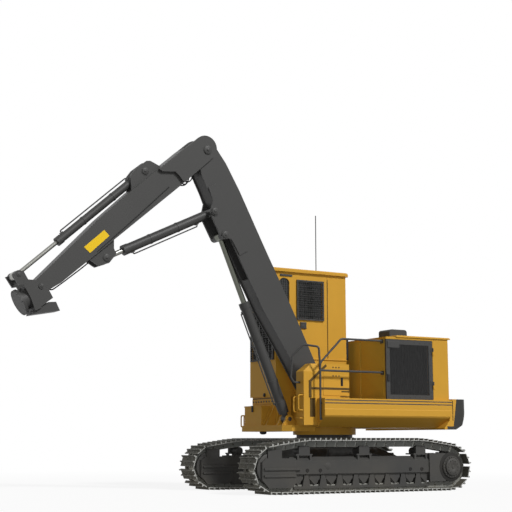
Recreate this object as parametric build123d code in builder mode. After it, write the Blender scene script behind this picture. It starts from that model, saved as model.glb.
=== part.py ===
"""Tracked knuckleboom log loader, cab on the right of the boom.

Frame: +X forward, +Y left, +Z up, millimetres, ground at z = 0.
The slew axis stands at x = SLEW_X; x values in the tables are measured from that axis.
"""

import os
from math import acos, atan2, cos, degrees, hypot, pi, radians, sin

from build123d import *

os.makedirs("parts", exist_ok=True)

# Placing
SLEW_X = -2028.0
FIT_GAP = 0.5         # radial play of a pin in its bore
RUN_GAP = 1.0         # between a tread and the rail that it runs on
CUT = 5.0             # a cutting solid reaches this far past what it cuts

# Tracks
GAUGE = 2310.0        # between the tracks' centre lines
SHOE_WIDTH = 560.0
SHOE_PITCH = 216.0
SHOE_SLIT = 14.0      # between two shoes on the flat
WHEEL_X = 1965.0      # idler in front, sprocket behind
WHEEL_Z = 435.0
PIN_RADIUS = 330.0    # chain pins round both wheels
CARRY_X = 1280.0      # outer carrier rollers
TOP_PIN_Z = 865.0     # chain pins over the carrier rollers
LINK_HALF = 55.0      # chain link, half its height
LINK_INNER = 45.0     # link rails, measured from the track's centre line
LINK_OUTER = 100.0
PLATE_THICK = 14.0
BAR_HEIGHT = 36.0     # two grouser bars on each shoe
BAR_FOOT = 32.0
BAR_TIP = 18.0
BAR_STEP = 100.0      # from the leading bar to the second one
STRAIGHT = 1 - 1e-10  # cosine above which two links lie in one line

# Rollers, idlers and final drives
ROLLER_COUNT = 9
ROLLER_STEP = 350.0
ROLLER_RADIUS = 90.0
CARRY_RADIUS = 75.0
CARRY_DROP = 9.0      # outer carrier rollers: the straight links cut the corner there
TREAD_HALF = 110.0    # rollers and idler, half their width
AXLE_RADIUS = 42.0
IDLER_AXLE = 60.0
IDLER_HUB = 115.0
IDLER_RIM = 205.0
IDLER_DISH = 40.0     # depth of the dished web between hub and rim
TOOTH_COUNT = 19
TOOTH_ROOT = 262.0
TOOTH_TIP = 318.0
DRIVE_RADIUS = 235.0
DRIVE_COVER = 212.0
DRIVE_CAP = 165.0
DRIVE_CAP_OUT = 240.0

# Track frames, y measured outwards from the track's centre line
BEAM_HALF = 175.0
BEAM_REAR_X = -1500.0
BEAM_FRONT_X = 1550.0
BEAM_LOW_Z = 345.0
BEAM_HIGH_Z = 640.0
BEAM_SLOPE_Y = 80.0   # the outer top edge slopes down over this width
BEAM_SLOPE_Z = 70.0
GUARD_IN = 120.0      # roller guard plates
GUARD_SHEET = 22.0
GUARD_REACH = 1520.0
GUARD_LOW_Z = 92.0
GUARD_RAIL = 42.0     # rail left under the guard's windows
WINDOW_LOW = 190.0    # guard window, its width at the bottom and at the top
WINDOW_HIGH = 270.0
YOKE_IN = 150.0       # idler yoke and drive collar plates
YOKE_SHEET = 45.0
YOKE_REAR_X = 1480.0
YOKE_FRONT_X = 2150.0
YOKE_LOW_Z = 112.0
YOKE_HIGH_Z = 620.0
YOKE_CORNER = 140.0
POST_REAR_X = 1757.0  # upstand on the yoke
POST_FRONT_X = 2038.0
POST_HIGH_Z = 770.0
LEDGE_OUT = 26.0      # two ledges along the yoke
LEDGE_HALF = 18.0
COLLAR_FRONT_X = -1460.0
COLLAR_REAR_X = -1840.0
COLLAR_LOW_Z = 170.0
COLLAR_HIGH_Z = 690.0
SHELF_Z = 690.0       # carrier roller brackets
SHELF_THICK = 25.0
SHELF_HALF = 168.0
SHELF_OUT = 165.0
BRACKET_HALF = 112.0
BRACKET_HIGH_Z = 832.0
BRACKET_ROUND = 40.0
LEG_THICK = 36.0

# Carbody and slew ring
BODY_HALF_X = 720.0
BODY_HALF_Y = 600.0
BODY_LOW_Z = 470.0
BODY_HIGH_Z = 860.0
LEG_ROOT = (450.0, 500.0, 665.0, 500.0, 370.0)    # splayed leg: x, y, z, length, height at the body
LEG_END = (800.0, 530.0, 360.0, 220.0)            # x, z, length, height at the track frame
RING_RADIUS = 535.0
RING_LOW_Z = 980.0
RING_HIGH_Z = 1030.0
RING_SEAT = 30.0
DRUM_RADIUS = 600.0

# Upper frame and deck
FRAME_LOW_Z = 1160.0
FRAME_PLATE = 40.0
FRAME_HALF = 790.0
FRAME_FRONT_X = 760.0
FRAME_REAR_X = -1880.0
FRAME_WEBS = (-420.0, 380.0)
DECK_Z = 1680.0
DECK_HALF = 1300.0
DECK_REAR_X = -2080.0
DECK_FRONT_X = 830.0
TANK_CORNER_Y = 250.0   # lower outer edge: a slope, then a round
TANK_CORNER_Z = 170.0
TANK_ROUND_Z = 160.0
GROOVE_ZS = (1645.0, 1592.0)
GROOVE_HALF = 6.0
GROOVE_DEEP = 8.0
TAIL_MID_X = -2000.0    # rear edge of the tanks, seen from the side
TAIL_MID_Z = 1290.0
TAIL_HIGH_Z = 1560.0
BUMPER_REAR_X = -2450.0
BUMPER_HIGH_Z = 1705.0
BUMPER_LOW_Z = 1130.0
BUMPER_EDGE_Z = 1550.0  # the rear face is upright above this
BUMPER_FOOT_X = -2310.0
BUMPER_FOOT_Z = 1210.0
BUMPER_ROUND = 150.0

# Front platform and boom tower
PLATFORM_LOW_Z = 1090.0
PLATFORM_HIGH_Z = 1200.0
PLATFORM_FRONT_X = 1380.0
PLATFORM_RIGHT_Y = -900.0
PLATFORM_LEFT_Y = 850.0
PLATFORM_CORNER = 130.0
RISER_REAR_X = 840.0
RISER_FRONT_X = 1130.0
RISER_SHEET = 36.0
GUSSET_YS = (-60.0, 60.0)
GUSSET_SHEET = 22.0
GUSSET_FRONT_X = 1330.0
GUSSET_HIGH_Z = 1600.0
BOX_FRONT_X = 1330.0
BOX_RIGHT_Y = -750.0
BOX_LEFT_Y = -110.0
BOX_HIGH_Z = 1570.0
BOX_LID = 24.0
TOWER_IN = 800.0
TOWER_OUT = 1055.0
TOWER_REAR_X = 130.0
TOWER_FRONT_X = 1120.0
TOWER_HIGH_Z = 2310.0
TOWER_CHAMFER_X = 200.0
TOWER_CHAMFER_Z = 150.0
SLOT_X = (870.0, 990.0)
SLOT_Z = (1345.0, 1680.0)
SLOT_DEEP = 18.0
HATCH_X = (170.0, 700.0)
HATCH_Z = (1735.0, 2270.0)
FACET_Y = 85.0         # sloped facet along the tower's outer top edge, in front of the cabinet
FACET_Z = 150.0
HATCH_THICK = 8.0
CHEEK_OUT = 310.0
CHEEK_IN = 260.0
CHEEK_REACH = 180.0

# Hood
HOOD_FRONT_X = -600.0
HOOD_REAR_X = -2070.0
HOOD_HALF = 1220.0
HOOD_HIGH_Z = 2850.0
HOOD_SHEET = 40.0
LIP_FRONT_X = -830.0
LIP_OUT = 25.0
LIP_REAR = 45.0
LIP_THICK = 34.0
BULGE_RADIUS = 165.0
BULGE_Z = 2140.0
BULGE_OUT = 28.0
BULGE_ROUND = 20.0
GRILLE_REAR_X = -1690.0
GRILLE_RIM = 88.0
GRILLE_BARS = 15
GRILLE_BAR = 26.0
CORE_GAP = 60.0
CORE_THICK = 120.0
ENGINE_X = (-1650.0, -850.0)
ENGINE_Y = (-550.0, 450.0)
ENGINE_HIGH_Z = 2500.0
CLEANER_X = (-1260.0, -850.0)
CLEANER_Y = (650.0, 1000.0)
CLEANER_HIGH = 135.0
CLEANER_ROUND = 55.0

# Cab
CAB_REAR_X = -430.0
CAB_FRONT_X = 1165.0
CAB_RIGHT_Y = -830.0
CAB_LEFT_Y = 150.0
CAB_LOW_Z = 1740.0
CAB_FLOOR_Z = 1860.0
CAB_HIGH_Z = 4100.0
CAB_WALL = 60.0
CAB_FOOT = 100.0       # plinth under the floor, set in from the walls
ROOF_THICK = 70.0
ROOF_REAR = 70.0
ROOF_FRONT = 165.0
ROOF_RIGHT = 120.0
ROOF_LEFT = 50.0
ROOF_ROUND = 90.0
ROOF_EDGE = 22.0
SEAM_X = 10.0
SEAM = 8.0
SILL_Z = 2450.0
HEAD_Z = 3985.0
FRONT_POST = 20.0      # front window, in from the side walls
SIDE_WINDOW = (120.0, 680.0, 3220.0, 3940.0)        # x, x, z, z
CORNER_WINDOW = (860.0, 1085.0, SILL_Z, HEAD_Z)
DOORSIDE_WINDOW = (-250.0, 130.0, 2950.0, 3900.0)
REAR_WINDOW = (-650.0, -30.0, 2950.0, 3900.0)       # y, y, z, z
DOOR_REAR_X = 250.0
DOOR_FRONT_X = 1085.0
DOOR_GAP = 6.0
DOOR_RIM = 90.0
DOOR_SILL_Z = 2500.0
GLASS = 10.0
GUARD_BORDER = 48.0    # window guards
GUARD_DEPTH = 34.0
GUARD_STRIP = 12.0
SIDE_GUARD_CELLS = (6, 8)
FRONT_GUARD_CELLS = (7, 11)
HINGE_RADIUS = 14.0
HINGE_OUT = 15.0       # hinge axis, out from the skin
HINGE_LEAF = 8.0
HINGE_REACH = 52.0
HINGE_HIGH = 70.0
HINGE_PLAY = 2.0

# Operator's place
CHAIR_X, CHAIR_Y = 350.0, -340.0
CUSHION = (540.0, 520.0, 140.0)
CUSHION_Z = 2250.0
BACK = (130.0, 500.0, 660.0)
STAND = (400.0, 400.0)
POD = (500.0, 110.0)
POD_X = 450.0
POD_YS = (-665.0, -15.0)
POD_HIGH_Z = 2520.0

# Working arm, pins in the plane of the boom
BOOM_Y = 550.0
BOOM_HALF = 190.0
BOOM_PLATE = 20.0      # side plates, standing out past the top and bottom plates
BOOM_LIP = 22.0
FOOT_X, FOOT_Z = 720.0, 2000.0
KNUCKLE_X, KNUCKLE_Z = 2960.0, 6086.0
TIP_X, TIP_Z = 5965.0, 3420.0
LIFT_FOOT_X, LIFT_FOOT_Z = 1184.0, 1310.0
LIFT_EYE_X, LIFT_EYE_Z = 2576.0, 4572.0
STICK_FOOT_X, STICK_FOOT_Z = 2790.0, 4980.0
STICK_EYE_X, STICK_EYE_Z = 4806.0, 3990.0
TIP_FOOT_X, TIP_FOOT_Z = 4120.0, 5583.0
TIP_EYE_X, TIP_EYE_Z = 6350.0, 3580.0
FOOT_ROUND = 200.0     # boom ends, round the foot and knuckle pins
KNUCKLE_ROUND = 205.0
FOOT_BOSS = 150.0
BOSS_OUT = 40.0        # bosses stand this far out of the boom's sides
EYE_RADIUS = 75.0      # cylinder eyes
EYE_HALF = 75.0
LUG_IN = 80.0          # lugs start here, beside the eye
LUG_SHEET = 40.0
LUG_BOSS = 78.0
PIN = 50.0             # pin radius at the cylinders
FOOT_PIN = 60.0
KNUCKLE_PIN = 55.0
CHANNEL = (2230.0, 3390.0, -185.0)   # room for the lift cylinder under the boom: along, along, across
CHANNEL_HALF = 114.0
STICK_GAP = 5.0        # from the boom's sides to the stick's cheeks
CHEEK_SHEET = 50.0
STICK_TIP_HALF = 140.0
STICK_MID_HALF = 195.0
TIP_ROUND = 125.0
HEAD_IN = 155.0        # tool head's side plates
HEAD_SHEET = 45.0
HEAD_BOSS = 72.0
FLANGE_X, FLANGE_Z = 160.0, -190.0   # flange, from the tip pin
FLANGE_LEAN = -30.7
FLANGE_NECK = 172.0
FLANGE_RADIUS = 225.0
FLANGE_NECK_LONG = 130.0
FLANGE_LONG = 180.0
FLANGE_HOLES = 8
FLANGE_HOLE = 13.0
FLANGE_CIRCLE = 200.0
WEDGE_HALF = 150.0

# Hand rails and small tubes
RAIL = 19.0
RAIL_Y = 1195.0
RAIL_JOG = 95.0       # the rails turn in to the hood's front panel
RAIL_TOP_Z = 2765.0
RAIL_MID_Z = 2175.0
RAIL_FOOT_Z = 1290.0
RAIL_BEND = 110.0
RAIL_SLOPE_X = 390.0  # the top rail slopes down from here to the front post
GRAB = 12.0
GRAB_OUT = 90.0
GRAB_HIGH = 270.0
STEP_LOW_Z = 1150.0   # step loop beside the platform
STEP_HIGH_Z = 1400.0
LINE = 12.0            # hard lines beside the cylinders
LINE_OUT = 42.0
PORT = 30.0
ANTENNA_LONG = 1130.0
ANTENNA_X, ANTENNA_Y = 142.0, -25.0
ANTENNA_RADIUS = 9.0
ANTENNA_FOOT = 24.0


def side(y, x=0.0, z=0.0, turn=0.0):
    """Upright plane at y: local x runs forward (turned up by an angle), extrusion runs right."""
    along = (cos(radians(turn)), 0, sin(radians(turn)))
    return Plane(origin=(SLEW_X + x, y, z), x_dir=along, z_dir=(0, -1, 0))


def level(z):
    """Level plane at height z, centred on the slew axis."""
    return Plane(origin=(SLEW_X, 0, z))


def front(x):
    """Upright plane across the machine: local x runs left, extrusion runs forward."""
    return Plane(origin=(SLEW_X + x, 0, 0), x_dir=(0, 1, 0), z_dir=(1, 0, 0))


def outline(plane, points):
    """Closed polygon on a plane."""
    with BuildSketch(plane) as sketch:
        with BuildLine():
            Polyline(*points, close=True)
        make_face()
    return sketch.sketch


def disc(plane, radius, x=0.0, y=0.0):
    """Round face on a plane."""
    with BuildSketch(plane) as sketch:
        with Locations((x, y)):
            Circle(radius)
    return sketch.sketch


def block(x0, x1, y0, y1, z0, z1, mode=Mode.ADD):
    """Box between its limits, x from the slew axis."""
    with Locations((SLEW_X + (x0 + x1) / 2, (y0 + y1) / 2, (z0 + z1) / 2)):
        Box(x1 - x0, y1 - y0, z1 - z0, mode=mode)


def tube(points, radius, bend):
    """Round bar along straight runs and equal bends; x from the slew axis."""
    places = [(SLEW_X + x, y, z) for x, y, z in points]
    with BuildLine() as path:
        if len(places) > 2:
            FilletPolyline(*places, radius=bend)
        else:
            Line(*places)
    way = path.wire()
    with BuildSketch(Plane(origin=way @ 0, z_dir=way % 0)) as section:
        Circle(radius)
    sweep(sections=section.sketch, path=way)


def turned(plane, half_profile):
    """Round piece about the plane's local y: (radius, half width) pairs from the axle's end inwards."""
    end = half_profile[0][1]
    back = [(radius, -width) for radius, width in reversed(half_profile)]
    face = outline(plane, [(0.0, end), *half_profile, *back, (0.0, -end)])
    revolve(face, axis=Axis(plane.origin, plane.y_dir))


def save(builder, name):
    """Label a finished piece and write its file."""
    builder.part.label = name
    export_step(builder.part, f"parts/{name}.step")


def save_both(builder, name, together=False):
    """Write a left-hand piece and its mirror image, as one file or as two."""
    with BuildPart() as other:
        mirror(builder.part, about=Plane.XZ)
        if together:
            add(builder.part)
    if together:
        save(other, name)
    else:
        save(builder, f"{name}_left")
        save(other, f"{name}_right")


def span(x0, z0, x1, z1):
    """Length and upward angle from one pin to another."""
    return hypot(x1 - x0, z1 - z0), degrees(atan2(z1 - z0, x1 - x0))


def along_arm(x, z, x0, z0, angle):
    """Place of a pin along and across an arm that starts at (x0, z0)."""
    run, rise = x - x0, z - z0
    c, s = cos(radians(angle)), sin(radians(angle))
    return run * c + rise * s, rise * c - run * s


BOOM_LENGTH, BOOM_ANGLE = span(FOOT_X, FOOT_Z, KNUCKLE_X, KNUCKLE_Z)
STICK_LENGTH, STICK_ANGLE = span(KNUCKLE_X, KNUCKLE_Z, TIP_X, TIP_Z)


def on_boom(x, z):
    return along_arm(x, z, FOOT_X, FOOT_Z, BOOM_ANGLE)


def on_stick(x, z):
    return along_arm(x, z, KNUCKLE_X, KNUCKLE_Z, STICK_ANGLE)


def boom_side(y):
    """Plane along the boom from its foot pin."""
    return side(y, FOOT_X, FOOT_Z, BOOM_ANGLE)


def stick_side(y):
    """Plane along the stick from the knuckle pin."""
    return side(y, KNUCKLE_X, KNUCKLE_Z, STICK_ANGLE)


# Chain: the pins lie on the line round both wheels and over the carrier rollers
reach = hypot(WHEEL_X - CARRY_X, TOP_PIN_Z - WHEEL_Z)
touch = atan2(TOP_PIN_Z - WHEEL_Z, CARRY_X - WHEEL_X) - acos(PIN_RADIUS / reach)
touch_x = WHEEL_X + PIN_RADIUS * cos(touch)
touch_z = WHEEL_Z + PIN_RADIUS * sin(touch)
PIN_LOW_Z = WHEEL_Z - PIN_RADIUS
with BuildLine() as chain_way:
    ThreePointArc((-WHEEL_X, PIN_LOW_Z), (-WHEEL_X - PIN_RADIUS, WHEEL_Z), (-touch_x, touch_z))
    Polyline((-touch_x, touch_z), (-CARRY_X, TOP_PIN_Z), (CARRY_X, TOP_PIN_Z), (touch_x, touch_z))
    ThreePointArc((touch_x, touch_z), (WHEEL_X + PIN_RADIUS, WHEEL_Z), (WHEEL_X, PIN_LOW_Z))
    Line((WHEEL_X, PIN_LOW_Z), (-WHEEL_X, PIN_LOW_Z))
pin_line = chain_way.wire()
SHOE_COUNT = round(pin_line.length / SHOE_PITCH)
pins = [pin_line @ ((i + 0.5) / SHOE_COUNT) for i in range(SHOE_COUNT)]
LINK_MID_RADIUS = PIN_RADIUS * cos(SHOE_PITCH / PIN_RADIUS / 2)


def chain_corners(out):
    """Corners between links that turn, moved outwards from the line of the pins."""
    corners = []
    for before, pin, after in zip(pins[-1:] + pins[:-1], pins, pins[1:] + pins[:1]):
        arriving = (pin - before).normalized()
        way = (arriving + (after - pin).normalized()).normalized()
        turn = way.dot(arriving)
        if turn < STRAIGHT:
            corners.append((pin.X - way.Y * out / turn, pin.Y + way.X * out / turn))
    return corners


shoe_half = (SHOE_PITCH - SHOE_SLIT) / 2
SHOE_TOP = LINK_HALF + PLATE_THICK
BAR_TOP = SHOE_TOP + BAR_HEIGHT
bar_slope = (BAR_FOOT - BAR_TIP) / 2
second = BAR_STEP - shoe_half
shoe_shape = [
    (-shoe_half, LINK_HALF), (shoe_half, LINK_HALF), (shoe_half, SHOE_TOP),
    (second + BAR_FOOT, SHOE_TOP), (second + BAR_FOOT - bar_slope, BAR_TOP), (second + bar_slope, BAR_TOP),
    (second, SHOE_TOP), (BAR_FOOT - shoe_half, SHOE_TOP), (BAR_TIP - shoe_half, BAR_TOP),
    (-shoe_half, BAR_TOP),
]
ROLLER_XS = [(i - (ROLLER_COUNT - 1) / 2) * ROLLER_STEP for i in range(ROLLER_COUNT)]
ROLLER_Z = PIN_LOW_Z + LINK_HALF + ROLLER_RADIUS
CARRY_Z = TOP_PIN_Z - LINK_HALF - CARRY_RADIUS
mid = GAUGE / 2

# Undercarriage: the left side is modelled, and the right side is its mirror image
with BuildPart() as track:
    for y in (mid + LINK_OUTER, mid - LINK_INNER):
        with BuildSketch(side(y)) as rail:
            with BuildLine():
                Polyline(*chain_corners(LINK_HALF), close=True)
            make_face()
            with BuildLine():
                Polyline(*chain_corners(-LINK_HALF), close=True)
            make_face(mode=Mode.SUBTRACT)
        extrude(amount=LINK_OUTER - LINK_INNER)
    with BuildSketch(side(mid + SHOE_WIDTH / 2)) as shoes:
        for start, end in zip(pins[-1:] + pins[:-1], pins):
            way = end - start
            with Locations((start + end) / 2):
                Polygon(*shoe_shape, rotation=degrees(atan2(way.Y, way.X)), align=None)
    extrude(amount=SHOE_WIDTH)
save_both(track, "track")

with BuildPart() as frame:
    slope_y = mid + BEAM_HALF - BEAM_SLOPE_Y
    beam = outline(front(BEAM_REAR_X), [
        (mid - BEAM_HALF, BEAM_LOW_Z), (mid + BEAM_HALF, BEAM_LOW_Z),
        (mid + BEAM_HALF, BEAM_HIGH_Z - BEAM_SLOPE_Z), (slope_y, BEAM_HIGH_Z), (mid - BEAM_HALF, BEAM_HIGH_Z),
    ])
    extrude(beam, amount=BEAM_FRONT_X - BEAM_REAR_X)
    for y in (mid + GUARD_IN + GUARD_SHEET, mid - GUARD_IN):
        with BuildSketch(side(y)) as guard:
            with BuildLine():
                Polyline(
                    (-GUARD_REACH, BEAM_LOW_Z), (GUARD_RAIL - GUARD_REACH, GUARD_LOW_Z),
                    (GUARD_REACH - GUARD_RAIL, GUARD_LOW_Z), (GUARD_REACH, BEAM_LOW_Z), close=True,
                )
            make_face()
            if y > mid:
                with Locations(*[(x, 0) for x in ROLLER_XS]):
                    Polygon(
                        (-WINDOW_LOW / 2, GUARD_LOW_Z + GUARD_RAIL), (WINDOW_LOW / 2, GUARD_LOW_Z + GUARD_RAIL),
                        (WINDOW_HIGH / 2, BEAM_LOW_Z - GUARD_RAIL / 2),
                        (-WINDOW_HIGH / 2, BEAM_LOW_Z - GUARD_RAIL / 2), align=None, mode=Mode.SUBTRACT,
                    )
        extrude(amount=GUARD_SHEET)
    yoke = [
        (YOKE_REAR_X, YOKE_LOW_Z + YOKE_CORNER / 2), (YOKE_REAR_X + YOKE_CORNER / 2, YOKE_LOW_Z),
        (YOKE_FRONT_X - YOKE_CORNER, YOKE_LOW_Z), (YOKE_FRONT_X, YOKE_LOW_Z + YOKE_CORNER),
        (YOKE_FRONT_X, YOKE_HIGH_Z - YOKE_CORNER / 2), (YOKE_FRONT_X - YOKE_CORNER / 2, YOKE_HIGH_Z),
        (POST_FRONT_X, YOKE_HIGH_Z), (POST_FRONT_X, POST_HIGH_Z), (POST_REAR_X, POST_HIGH_Z),
        (POST_REAR_X, YOKE_HIGH_Z), (YOKE_REAR_X, YOKE_HIGH_Z),
    ]
    collar = [
        (COLLAR_FRONT_X, COLLAR_LOW_Z), (COLLAR_REAR_X, COLLAR_LOW_Z), (COLLAR_REAR_X, COLLAR_HIGH_Z),
        (COLLAR_FRONT_X, COLLAR_HIGH_Z),
    ]
    for y in (mid + YOKE_IN + YOKE_SHEET, mid - YOKE_IN):
        for shape in (yoke, collar):
            extrude(outline(side(y), shape), amount=YOKE_SHEET)
        plane = side(y + CUT, -WHEEL_X, WHEEL_Z)
        extrude(disc(plane, DRIVE_RADIUS + 2 * CUT), amount=YOKE_SHEET + 2 * CUT, mode=Mode.SUBTRACT)
    yoke_out = mid + YOKE_IN + YOKE_SHEET
    for x0, z in ((BEAM_FRONT_X - BEAM_HALF, WHEEL_Z), (YOKE_REAR_X, WHEEL_Z - IDLER_HUB)):
        x1 = YOKE_FRONT_X - YOKE_CORNER / 4
        block(x0, x1, mid + YOKE_IN, yoke_out + LEDGE_OUT, z - LEDGE_HALF, z + LEDGE_HALF)
save_both(frame, "track_frame")

with BuildPart() as idler:
    wheel = Plane(origin=(SLEW_X + WHEEL_X, mid, WHEEL_Z), x_dir=(0, 0, 1), z_dir=(1, 0, 0))
    tread = LINK_MID_RADIUS - LINK_HALF - RUN_GAP
    turned(wheel, [
        (IDLER_AXLE, YOKE_IN), (IDLER_AXLE, TREAD_HALF), (IDLER_HUB, TREAD_HALF),
        (IDLER_HUB, TREAD_HALF - IDLER_DISH), (IDLER_RIM, TREAD_HALF - IDLER_DISH), (IDLER_RIM, TREAD_HALF),
        (tread, TREAD_HALF), (tread, LINK_INNER - CUT), (PIN_RADIUS - 4 * CUT, LINK_INNER - CUT),
    ])
save_both(idler, "idlers", together=True)

with BuildPart() as drive:
    step = 2 * pi / TOOTH_COUNT
    tooth = (
        # share of a step, radius
        (-0.3, TOOTH_ROOT), (-0.12, TOOTH_TIP), (0.12, TOOTH_TIP), (0.3, TOOTH_ROOT),
    )
    teeth = [
        (radius * cos((i + share) * step), radius * sin((i + share) * step))
        for i in range(TOOTH_COUNT) for share, radius in tooth
    ]
    extrude(outline(side(mid + LINK_INNER - CUT, -WHEEL_X, WHEEL_Z), teeth), amount=2 * (LINK_INNER - CUT))
    for radius, inner, outer in (
        (DRIVE_RADIUS, -YOKE_IN, YOKE_IN),
        (DRIVE_COVER, YOKE_IN, YOKE_IN + YOKE_SHEET),
        (DRIVE_CAP, YOKE_IN + YOKE_SHEET, DRIVE_CAP_OUT),
        (DRIVE_CAP, -(mid - FRAME_HALF), -YOKE_IN),
    ):
        extrude(disc(side(mid + outer, -WHEEL_X, WHEEL_Z), radius), amount=outer - inner)
save_both(drive, "final_drives", together=True)

with BuildPart() as rollers:
    for x in ROLLER_XS:
        axle = Plane(origin=(SLEW_X + x, mid, ROLLER_Z), x_dir=(0, 0, 1), z_dir=(1, 0, 0))
        turned(axle, [
            (AXLE_RADIUS, GUARD_IN), (AXLE_RADIUS, TREAD_HALF), (ROLLER_RADIUS - RUN_GAP, TREAD_HALF),
        ])
save_both(rollers, "bottom_rollers", together=True)

with BuildPart() as carriers:
    leg_in, leg_out = slope_y + CUT, mid + SHELF_OUT
    slope = BEAM_SLOPE_Z / BEAM_SLOPE_Y
    for x, drop in ((-CARRY_X, CARRY_DROP), (0.0, 0.0), (CARRY_X, CARRY_DROP)):
        plane = side(mid + TREAD_HALF, x, CARRY_Z - drop)
        extrude(disc(plane, CARRY_RADIUS - RUN_GAP), amount=2 * TREAD_HALF)
        with BuildSketch(side(leg_out, x)) as bracket:
            with Locations((0, (SHELF_Z + BRACKET_HIGH_Z) / 2)):
                Rectangle(2 * BRACKET_HALF, BRACKET_HIGH_Z - SHELF_Z)
            fillet(bracket.vertices().group_by(Axis.Y)[-1], BRACKET_ROUND)
        extrude(amount=SHELF_OUT - TREAD_HALF)
        block(x - SHELF_HALF, x + SHELF_HALF, slope_y - BEAM_HALF, leg_out, SHELF_Z - SHELF_THICK, SHELF_Z)
        block(x - IDLER_AXLE, x + IDLER_AXLE, slope_y - BEAM_HALF, slope_y, BEAM_HIGH_Z, SHELF_Z)
        for x0 in (x - BRACKET_HALF - LEG_THICK, x + BRACKET_HALF):
            leg = outline(front(x0), [
                (leg_in, BEAM_HIGH_Z - slope * (leg_in - slope_y)),
                (leg_out, BEAM_HIGH_Z - slope * (leg_out - slope_y)),
                (leg_out, SHELF_Z - SHELF_THICK), (leg_in, SHELF_Z - SHELF_THICK),
            ])
            extrude(leg, amount=LEG_THICK)
save_both(carriers, "carrier_rollers", together=True)

with BuildPart() as carbody:
    block(-BODY_HALF_X, BODY_HALF_X, -BODY_HALF_Y, BODY_HALF_Y, BODY_LOW_Z, BODY_HIGH_Z)
    extrude(disc(level(BODY_HIGH_Z), RING_RADIUS + RING_SEAT), amount=RING_LOW_Z - BODY_HIGH_Z)
    root_x, root_y, root_z, root_long, root_high = LEG_ROOT
    end_x, end_z, end_long, end_high = LEG_END
    for fx, fy in ((1, 1), (1, -1), (-1, 1), (-1, -1)):
        with BuildSketch(side(fy * root_y)) as leg_root:
            with Locations((fx * root_x, root_z)):
                Rectangle(root_long, root_high)
        with BuildSketch(side(fy * (mid - BEAM_HALF))) as leg_end:
            with Locations((fx * end_x, end_z)):
                Rectangle(end_long, end_high)
        loft(sections=[leg_root.sketch, leg_end.sketch])
save(carbody, "carbody")

with BuildPart() as ring:
    extrude(disc(level(RING_LOW_Z), RING_RADIUS), amount=RING_HIGH_Z - RING_LOW_Z)
save(ring, "slew_ring")

# Upper frame, with the right cheek of the boom foot
with BuildPart() as main_frame:
    extrude(disc(level(RING_HIGH_Z), DRUM_RADIUS), amount=FRAME_LOW_Z - RING_HIGH_Z)
    high = DECK_Z - FRAME_PLATE
    block(FRAME_REAR_X, FRAME_FRONT_X, -FRAME_HALF, FRAME_HALF, FRAME_LOW_Z, FRAME_LOW_Z + FRAME_PLATE)
    block(DECK_REAR_X, FRAME_FRONT_X, -FRAME_HALF, FRAME_HALF, high, DECK_Z)
    for y in (-FRAME_HALF, *FRAME_WEBS, FRAME_HALF - FRAME_PLATE):
        block(FRAME_REAR_X, FRAME_FRONT_X, y, y + FRAME_PLATE, FRAME_LOW_Z + FRAME_PLATE, high)
    block(FRAME_FRONT_X - FRAME_PLATE, FRAME_FRONT_X, -FRAME_HALF, FRAME_HALF, FRAME_LOW_Z, DECK_Z)
    cheek = [
        (TOWER_REAR_X, DECK_Z), (FOOT_X - CHEEK_REACH, FOOT_Z + CHEEK_REACH),
        (FOOT_X + CHEEK_REACH, FOOT_Z + CHEEK_REACH), (FOOT_X + CHEEK_REACH, FOOT_Z), (FRAME_FRONT_X, DECK_Z),
    ]
    extrude(outline(side(CHEEK_OUT), cheek), amount=CHEEK_OUT - CHEEK_IN)
save(main_frame, "main_frame")

tail = [(DECK_REAR_X, TAIL_HIGH_Z), (TAIL_MID_X, TAIL_MID_Z), (FRAME_REAR_X, FRAME_LOW_Z)]
for hand, sign, tank_front in (("left", 1, DECK_FRONT_X), ("right", -1, FRAME_FRONT_X)):
    with BuildPart() as tank:
        low, round_z = FRAME_LOW_Z, FRAME_LOW_Z + TANK_CORNER_Z
        inner, out = sign * FRAME_HALF, sign * DECK_HALF
        with BuildSketch(front(DECK_REAR_X)):
            with BuildLine():
                edge = Polyline(
                    (inner, DECK_Z), (inner, low), (out - sign * TANK_CORNER_Y, low),
                    (out - sign * TANK_CORNER_Y / 8, round_z),
                )
                TangentArc(edge @ 1, (out, round_z + TANK_ROUND_Z), tangent=edge % 1)
                Polyline((out, round_z + TANK_ROUND_Z), (out, DECK_Z), (inner, DECK_Z))
            make_face()
        extrude(amount=tank_front - DECK_REAR_X)
        shape = [
            (tank_front + CUT, low - CUT), (tank_front + CUT, DECK_Z + CUT), (DECK_REAR_X, DECK_Z + CUT),
            *tail, (FRAME_REAR_X, low - CUT),
        ]
        extrude(outline(side(max(inner, out) + CUT), shape), amount=DECK_HALF, mode=Mode.INTERSECT)
        for z in GROOVE_ZS:
            y0, y1 = sorted((out - sign * GROOVE_DEEP, out + sign * CUT))
            block(
                DECK_REAR_X - CUT, tank_front + CUT, y0, y1, z - GROOVE_HALF, z + GROOVE_HALF, mode=Mode.SUBTRACT,
            )
        if sign > 0:
            block(
                TOWER_REAR_X - CUT, tank_front + CUT, FRAME_HALF - CUT, TOWER_OUT + HATCH_THICK + CUT,
                low - CUT, DECK_Z + CUT, mode=Mode.SUBTRACT,
            )
    save(tank, f"side_tank_{hand}")

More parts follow.
